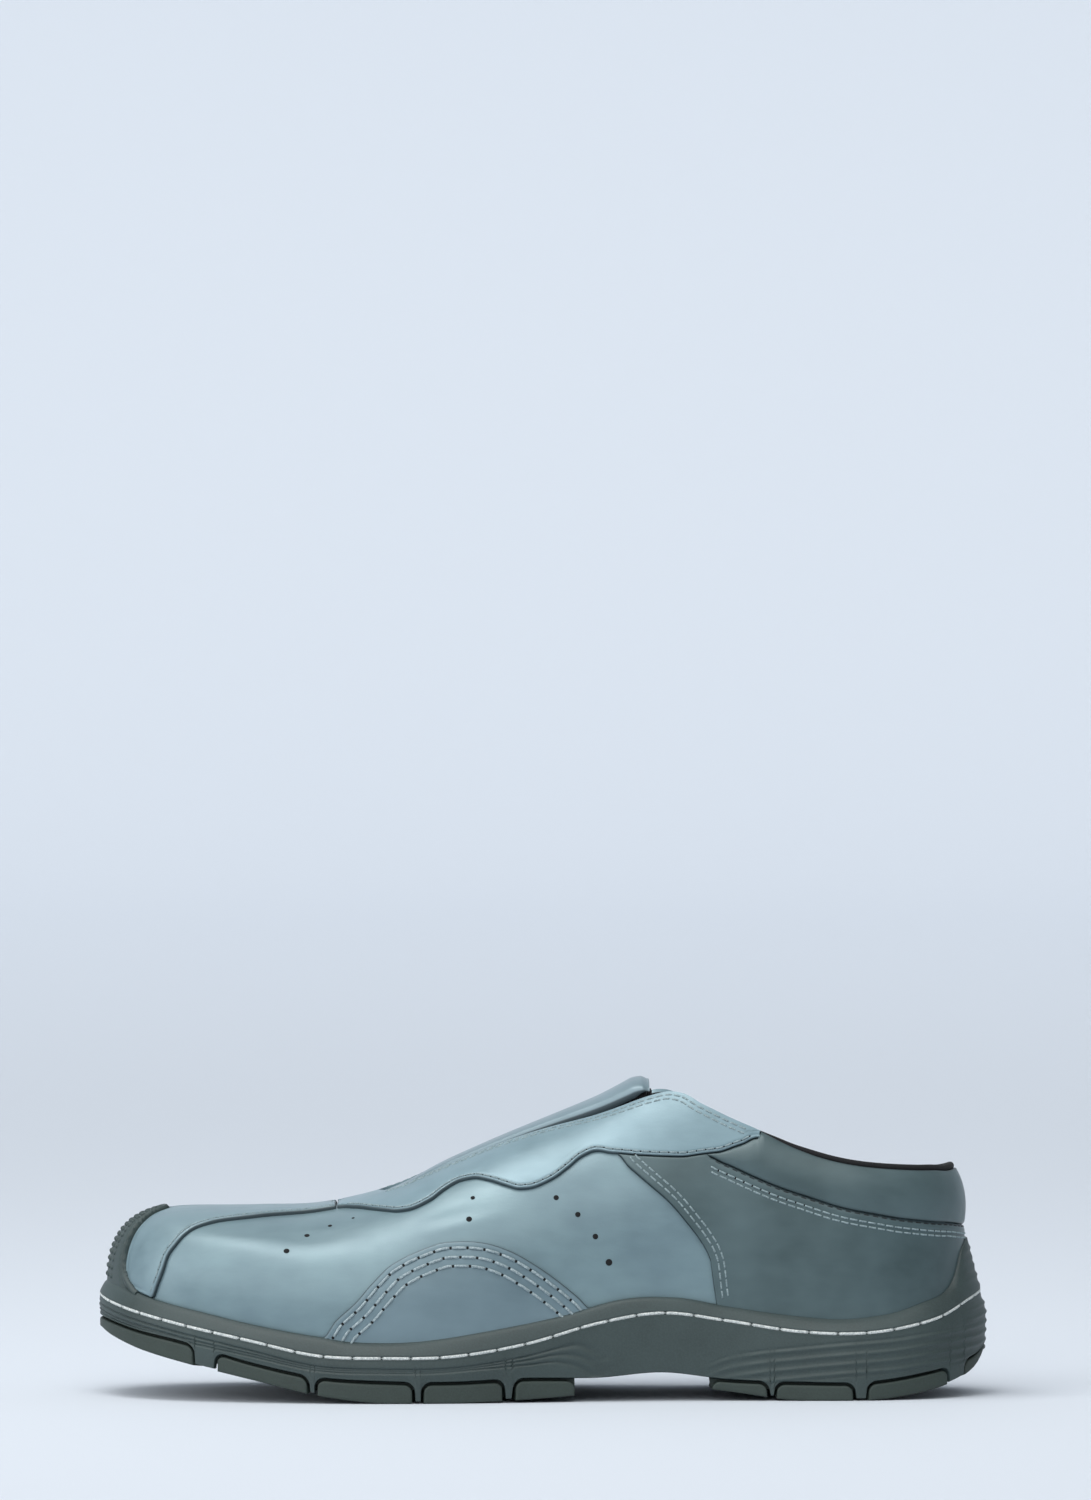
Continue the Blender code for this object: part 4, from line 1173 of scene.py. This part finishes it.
def bumperShell():
    # tongue of rubber over the toe with a beaded edge
    columns, rows = 140, 60
    station = np.linspace(-1.74, 1.74, columns + 1)
    high = seamAt("bumperEdge", station) - 0.003
    share = np.linspace(0, 1, rows + 1)
    way = 0.05 + (high - 0.05)[:, None] * share[None, :]
    stations = np.broadcast_to(station[:, None], way.shape)
    edgePoints = lastAt(station, high)
    points = lastAt(stations, way)
    away = np.linalg.norm(points[:, :, None] - edgePoints[None, None, ::2], axis=3).min(axis=2)
    bead = 0.0016 + 0.0007 * np.exp(-((away - 0.0012) / 0.0009) ** 2)
    bead = bead - 0.0005 * np.exp(-((away - 0.0034) / 0.0008) ** 2)
    bead = bead * np.sqrt(np.clip(1 - (1 - np.clip(away / 0.0009, 0, 1)) ** 2, 0.02, 1))
    top = skinAt(stations, way, 0.0004 + bead)
    low = skinAt(stations, way, 0.0002 + 0 * bead)
    bm = gridOf(columns, rows, True)
    return shapeGrid(bm, np.stack([low, top], axis=2))


def makeNubs():
    # rows of small grip nubs down the front of the bumper
    places = []
    for k, way in enumerate(np.linspace(0.13, 0.80, 15)):
        wide = 0.62 if way < 0.5 else 0.62 - 0.9 * (way - 0.5)
        count = 7 if k % 2 else 6
        for s in np.linspace(-wide, wide, count):
            places.append((s, way))
    at = np.array(places)
    makePiece(domes(at, 0.0019, 0.0008, 0.0007), "bumperNubs", soleRubber, "midsole", smooth=80)


def underRow(x):
    station = np.linspace(0, heelStation, 400)
    flare = tableAt("flare", station) * shoe["soleFlare"] - shoe["underBevel"]
    line = 0.5 * (outlineAt(station, flare)[:, 0] + outlineAt(lap - station, flare)[:, 0])
    return np.interp(x, line, station)


def heightAt(name, x):
    return np.maximum(tableAt(name, underRow(x)), 0.0) * shoe["seatHeight"]


def lugBlock(start, end):
    # tread lug with rounded upper corners and a softened outer face
    spec = lugSpec
    run = [math.copysign(float(runAt(abs(station))), station) for station in (start, end)]
    length = run[1] - run[0]
    ends = np.array([0.0, 0.0002, 0.0005, 0.0009, 0.0014, 0.0020, 0.0028])
    middle = np.linspace(0.0028, length - 0.0028, max(3, int(length / 0.003)))[1:-1]
    along = np.concatenate([ends, middle, length - ends[::-1]])
    lengths = run[0] + along
    signed = np.interp(np.abs(lengths), outlineLengths, everyStation) * np.sign(lengths)
    fromEnd = np.minimum(along, length - along)
    bite = np.clip(spec["corner"] - fromEnd, 0, spec["corner"])
    drop = spec["corner"] - np.sqrt(spec["corner"] ** 2 - bite ** 2)
    levels = np.array([0.0, 0.04, 0.10, 0.2, 0.35, 0.5, 0.65, 0.8, 0.9, 0.96, 1.0])
    flare = tableAt("flare", signed) * shoe["soleFlare"]
    points = np.zeros((len(along), len(levels), 2, 3))
    for k, inset in enumerate((spec["depth"], spec["inset"])):
        edge = outlineAt(signed, flare - inset)
        top = heightAt("under", edge[:, 0]) - spec["gap"] - drop
        foot = heightAt("ground", edge[:, 0])
        for j, level in enumerate(levels):
            fromSide = np.minimum(np.minimum(level, 1 - level) * (top - foot), fromEnd)
            turn = np.clip(1 - fromSide / spec["soft"], 0, 1)
            soft = spec["soft"] * (1 - np.sqrt(1 - turn ** 2)) if k else 0.0
            point = outlineAt(signed, flare - inset - soft)
            point[:, 2] = foot + (top - foot) * level
            points[:, j, k] = point
    return shapeGrid(gridOf(len(along) - 1, len(levels) - 1, True), points)


def treadPlate(start, end):
    # plate under the sole with a ribbed, crossed underside
    columns, rows = 90, 48
    station = np.linspace(start, end, columns + 1)
    flare = tableAt("flare", station) * shoe["soleFlare"]
    across = np.linspace(0, 1, rows + 1)
    points = np.zeros((columns + 1, rows + 1, 2, 3))
    near = outlineAt(station, flare - 0.0042)
    far = outlineAt(lap - station, flare - 0.0042)
    flat = near[:, None] * (1 - across)[None, :, None] + far[:, None] * across[None, :, None]
    under = heightAt("under", flat[..., 0])
    ground = heightAt("ground", flat[..., 0])
    wave = np.cos(2 * math.pi * (flat[..., 0] + 0.35 * np.abs(flat[..., 1])) / 0.013)
    tall = 0.5 + 0.5 * np.tanh(6 * (wave + 0.1))
    inner = np.clip(np.minimum(across, 1 - across) * 2.2, 0, 1)[None, :]
    points[:, :, 1] = flat
    points[:, :, 1, 2] = under - 0.0004
    points[:, :, 0] = flat
    points[:, :, 0, 2] = under - 0.0028 - (under - 0.0033 - ground) * tall * (inner > 0.12)
    return shapeGrid(gridOf(columns, rows, True), points)


def makeTreads():
    front = [treadPlate(0.02, 8.70), lugBlock(-lugSpec["toeEnd"], lugSpec["toeEnd"])]
    heel = [treadPlate(10.75, 15.98), lugBlock(lugSpec["heelStart"], lap - lugSpec["heelStart"])]
    for start, end in lugSpans:
        group = front if start < 9 else heel
        group.append(lugBlock(start, end))
        group.append(lugBlock(lap - end, lap - start))
    for name, node, parts in (("treadForefoot", "tread_forefoot", front), ("treadHeel", "tread_heel", heel)):
        makePiece(joinMeshes(parts), name, treadRubber, node, (node,), smooth=45)


outlineLengths = outlineRun()
makeMidsole()
makeNubs()
makeTreads()
print("sole ready")


# Stitching
def offsetCurve(curve, side, distance, spacing=0.0008):
    even = evenly(curve, spacing=spacing)
    return moveOn(even, inwardOf(even, side), distance)


def makeStitches():
    fine = {"pitch": 0.0026, "radius": 0.00028, "out": 0.00125, "gap": 0.2, "pit": 0.00034}
    medium = {"pitch": 0.0031, "radius": 0.00034, "out": 0.00130, "gap": 0.2, "pit": 0.00042}
    thick = {"pitch": 0.0056, "radius": 0.00050, "out": 0.00150, "gap": 0.2, "pit": 0.00055}
    toe = seamCurve("toe", 2.16, 5.20)
    saddleEdge = seamCurve("saddle", 5.35, 11.38)
    saddleTop = seamCurve("topline", 6.02, 11.35)
    wing = seamCurve("wing", 5.10, 8.90)
    quarter = seamCurve("quarter", 9.40, 10.84)
    rows = []  # curve, side of the curve, distance, thread, spec, pits
    rows.append((toe, 1, 0.0016, toneThread, fine, True))
    rows.append((saddleEdge, 1, 0.0013, toneThread, medium, True))
    rows.append((saddleTop, -1, 0.0017, toneThread, medium, True))
    rows.append((saddleTop, -1, 0.0034, toneThread, medium, True))
    for distance in (0.0024, 0.0055, 0.0085):
        rows.append((wing, -1, distance, wingThread, thick, True))
    for distance in (0.0024, 0.0043):
        rows.append((quarter, 1, distance, toneThread, medium, True))
    tubes = {}
    pits = []
    for curve, side, distance, thread, spec, holes in rows:
        for other in (False, True):
            path = mirrored(curve) if other else curve
            line = offsetCurve(path, side, distance)
            tubes.setdefault(thread.name, (thread, []))[1].append(threadTube(line, spec))
            if holes:
                pits.append(pitDots(line, spec))
    station = np.linspace(10.80, lap - 10.80, 1500)
    collarEdge = np.stack([station, seamAt("collar", station)], axis=-1)
    for distance, thread in ((0.0007, darkThread), (0.0029, toneThread), (0.0044, toneThread)):
        line = offsetCurve(collarEdge, -1, distance)
        spec = dict(medium)
        if thread is darkThread:
            spec["out"] = 0.0009
        tubes.setdefault(thread.name, (thread, []))[1].append(threadTube(line, spec))
        pits.append(pitDots(line, spec))
    for name, (thread, parts) in tubes.items():
        makePiece(joinMeshes(parts), name + "Rows", thread, "saddle", smooth=80)
    makePiece(joinMeshes(pits), "needleHoles", pitBlack, "gore", smooth=80)


def makeSoleStitches():
    # long pale stitches that lie in the sole's groove
    station = np.linspace(0, lap, 4000)
    line = (tableAt("flare", station) - tableAt("tuck", station)) * shoe["soleFlare"] - 0.00045
    path = outlineAt(station, line)
    path[:, 2] = tableAt("stitch", station) * shoe["seatHeight"]
    run = lengthsAlong(path)
    pitch = run[-1] / round(run[-1] / 0.0097)
    perStitch, around = 18, 8
    stitches = round(run[-1] / pitch)
    place = np.linspace(0, run[-1], stitches * perStitch + 1)
    center = np.stack([np.interp(place, run, path[:, k]) for k in range(3)], axis=-1)
    along = unit(np.gradient(center, axis=0))
    outward = unit(stack(along[:, 1], -along[:, 0], 0.0))
    upward = np.cross(outward, along)
    phase = (np.arange(len(place)) % perStitch) / perStitch
    up = np.clip(np.minimum(phase, 1 - phase) / 0.09, 0, 1)
    center = center + outward * (-0.0011 + 0.0011 * np.sin(up * math.pi / 2))[:, None]
    angle = np.linspace(0, 2 * math.pi, around + 1)
    ring = np.cos(angle)[None, :, None] * outward[:, None] + np.sin(angle)[None, :, None] * upward[:, None]
    bm = gridOf(len(place) - 1, around)
    points = center[:, None] + ring * 0.00062
    makePiece(shapeGrid(bm, points[:, :, None]), "soleStitches", paleThread, "midsole", smooth=80)


makeStitches()
makeSoleStitches()
print("stitches ready")

# Punched holes of the vamp: station, way, radius
holes = (
    (4.50, 0.478, 0.00105), (4.80, 0.605, 0.00095), (5.15, 0.671, 0.00075), (5.50, 0.708, 0.00055),
    (7.30, 0.552, 0.00080), (7.25, 0.448, 0.00105), (8.45, 0.425, 0.00095), (8.75, 0.339, 0.00095),
    (9.00, 0.252, 0.00100), (9.20, 0.169, 0.00120),
)


def makeHoles():
    at = np.array([(s, w) for s, w, r in holes] + [(lap - s, w) for s, w, r in holes])
    radius = np.array([r for s, w, r in holes] * 2)
    lift = 0.00004 + upperRelief(at[:, 0], at[:, 1])
    makePiece(domes(at, lift, radius, 0.00010, 14), "punchedHoles", pitBlack, "gore", smooth=80)


makeHoles()

# Camera, floor and light
view = {"lens": 300.0, "distance": 4.213, "elevation": 3.3, "height": 0.0516, "tilt": 2.245, "side": 0.0010}


def makeCamera():
    data = bpy.data.cameras.new("camera")
    data.lens = view["lens"]
    data.sensor_width = 36.0
    data.sensor_fit = "AUTO"
    data.clip_end = 50.0
    camera = bpy.data.objects.new("camera", data)
    bpy.context.scene.collection.objects.link(camera)
    lift = math.radians(view["elevation"])
    camera.location = (
        view["side"], -view["distance"] * math.cos(lift), view["height"] + view["distance"] * math.sin(lift)
    )
    camera.rotation_euler = (math.pi / 2 - lift + math.radians(view["tilt"]), 0.0, 0.0)
    bpy.context.scene.camera = camera


def makeStage():
    # floor that curves up into a backdrop well behind the shoe
    bm = bmesh.new()
    bmesh.ops.create_grid(bm, x_segments=2, y_segments=60, size=0.5)
    for vert in bm.verts:
        t = vert.co.y + 0.5
        x = vert.co.x * 30
        if t < 0.5:
            vert.co = (x, -15 + 40.4 * t, 0.0)
        elif t < 0.8:
            turn = (t - 0.5) / 0.3 * math.pi / 2
            vert.co = (x, 5.2 + 1.8 * math.sin(turn), 1.8 - 1.8 * math.cos(turn))
        else:
            vert.co = (x, 7.0, 1.8 + (t - 0.8) / 0.2 * 8)
    mesh = bpy.data.meshes.new("floor")
    bm.to_mesh(mesh)
    bm.free()
    mesh.shade_smooth()
    floor = bpy.data.objects.new("floor", mesh)
    bpy.context.scene.collection.objects.link(floor)
    material, tree, shader, place = nodeMaterial("paper")
    shader.inputs["Base Color"].default_value = (0.65, 0.70, 0.765, 1.0)
    shader.inputs["Roughness"].default_value = 0.9
    mesh.materials.append(material)


def addLight(name, size, power, place, target, colour=(1, 1, 1)):
    data = bpy.data.lights.new(name, "AREA")
    data.shape = "RECTANGLE"
    data.size, data.size_y = size
    data.energy = power
    data.color = colour
    lamp = bpy.data.objects.new(name, data)
    bpy.context.scene.collection.objects.link(lamp)
    lamp.location = place
    lamp.rotation_euler = (Vector(target) - Vector(place)).to_track_quat("-Z", "Y").to_euler()


def makeLights():
    addLight("top", (1.3, 0.5), 9, (-0.25, -0.20, 1.5), (0, 0, 0), (1.0, 0.99, 0.97))
    addLight("left", (0.5, 0.9), 4.0, (-1.5, -0.45, 0.55), (-0.1, 0, 0.04))
    addLight("backdrop", (5.0, 2.0), 40, (-1.2, 3.0, 4.2), (-1.0, 7.0, 1.2), (0.98, 0.99, 1.0))
    data = bpy.data.lights.new("skylight", "SUN")
    data.energy = 1.9
    data.angle = 1.4
    lamp = bpy.data.objects.new("skylight", data)
    bpy.context.scene.collection.objects.link(lamp)
    lamp.location = (-1.0, -2.0, 2.4)
    lamp.rotation_euler = Vector((0.45, 1.0, -1.2)).to_track_quat("-Z", "Y").to_euler()
    world = bpy.data.worlds.new("studio")
    world.use_nodes = True
    back = world.node_tree.nodes["Background"]
    back.inputs["Color"].default_value = (0.94, 0.97, 1.0, 1.0)
    back.inputs["Strength"].default_value = 0.32
    bpy.context.scene.world = world
    bpy.context.scene.view_settings.view_transform = "Standard"


makeCamera()
makeStage()
makeLights()

print("scene ready")
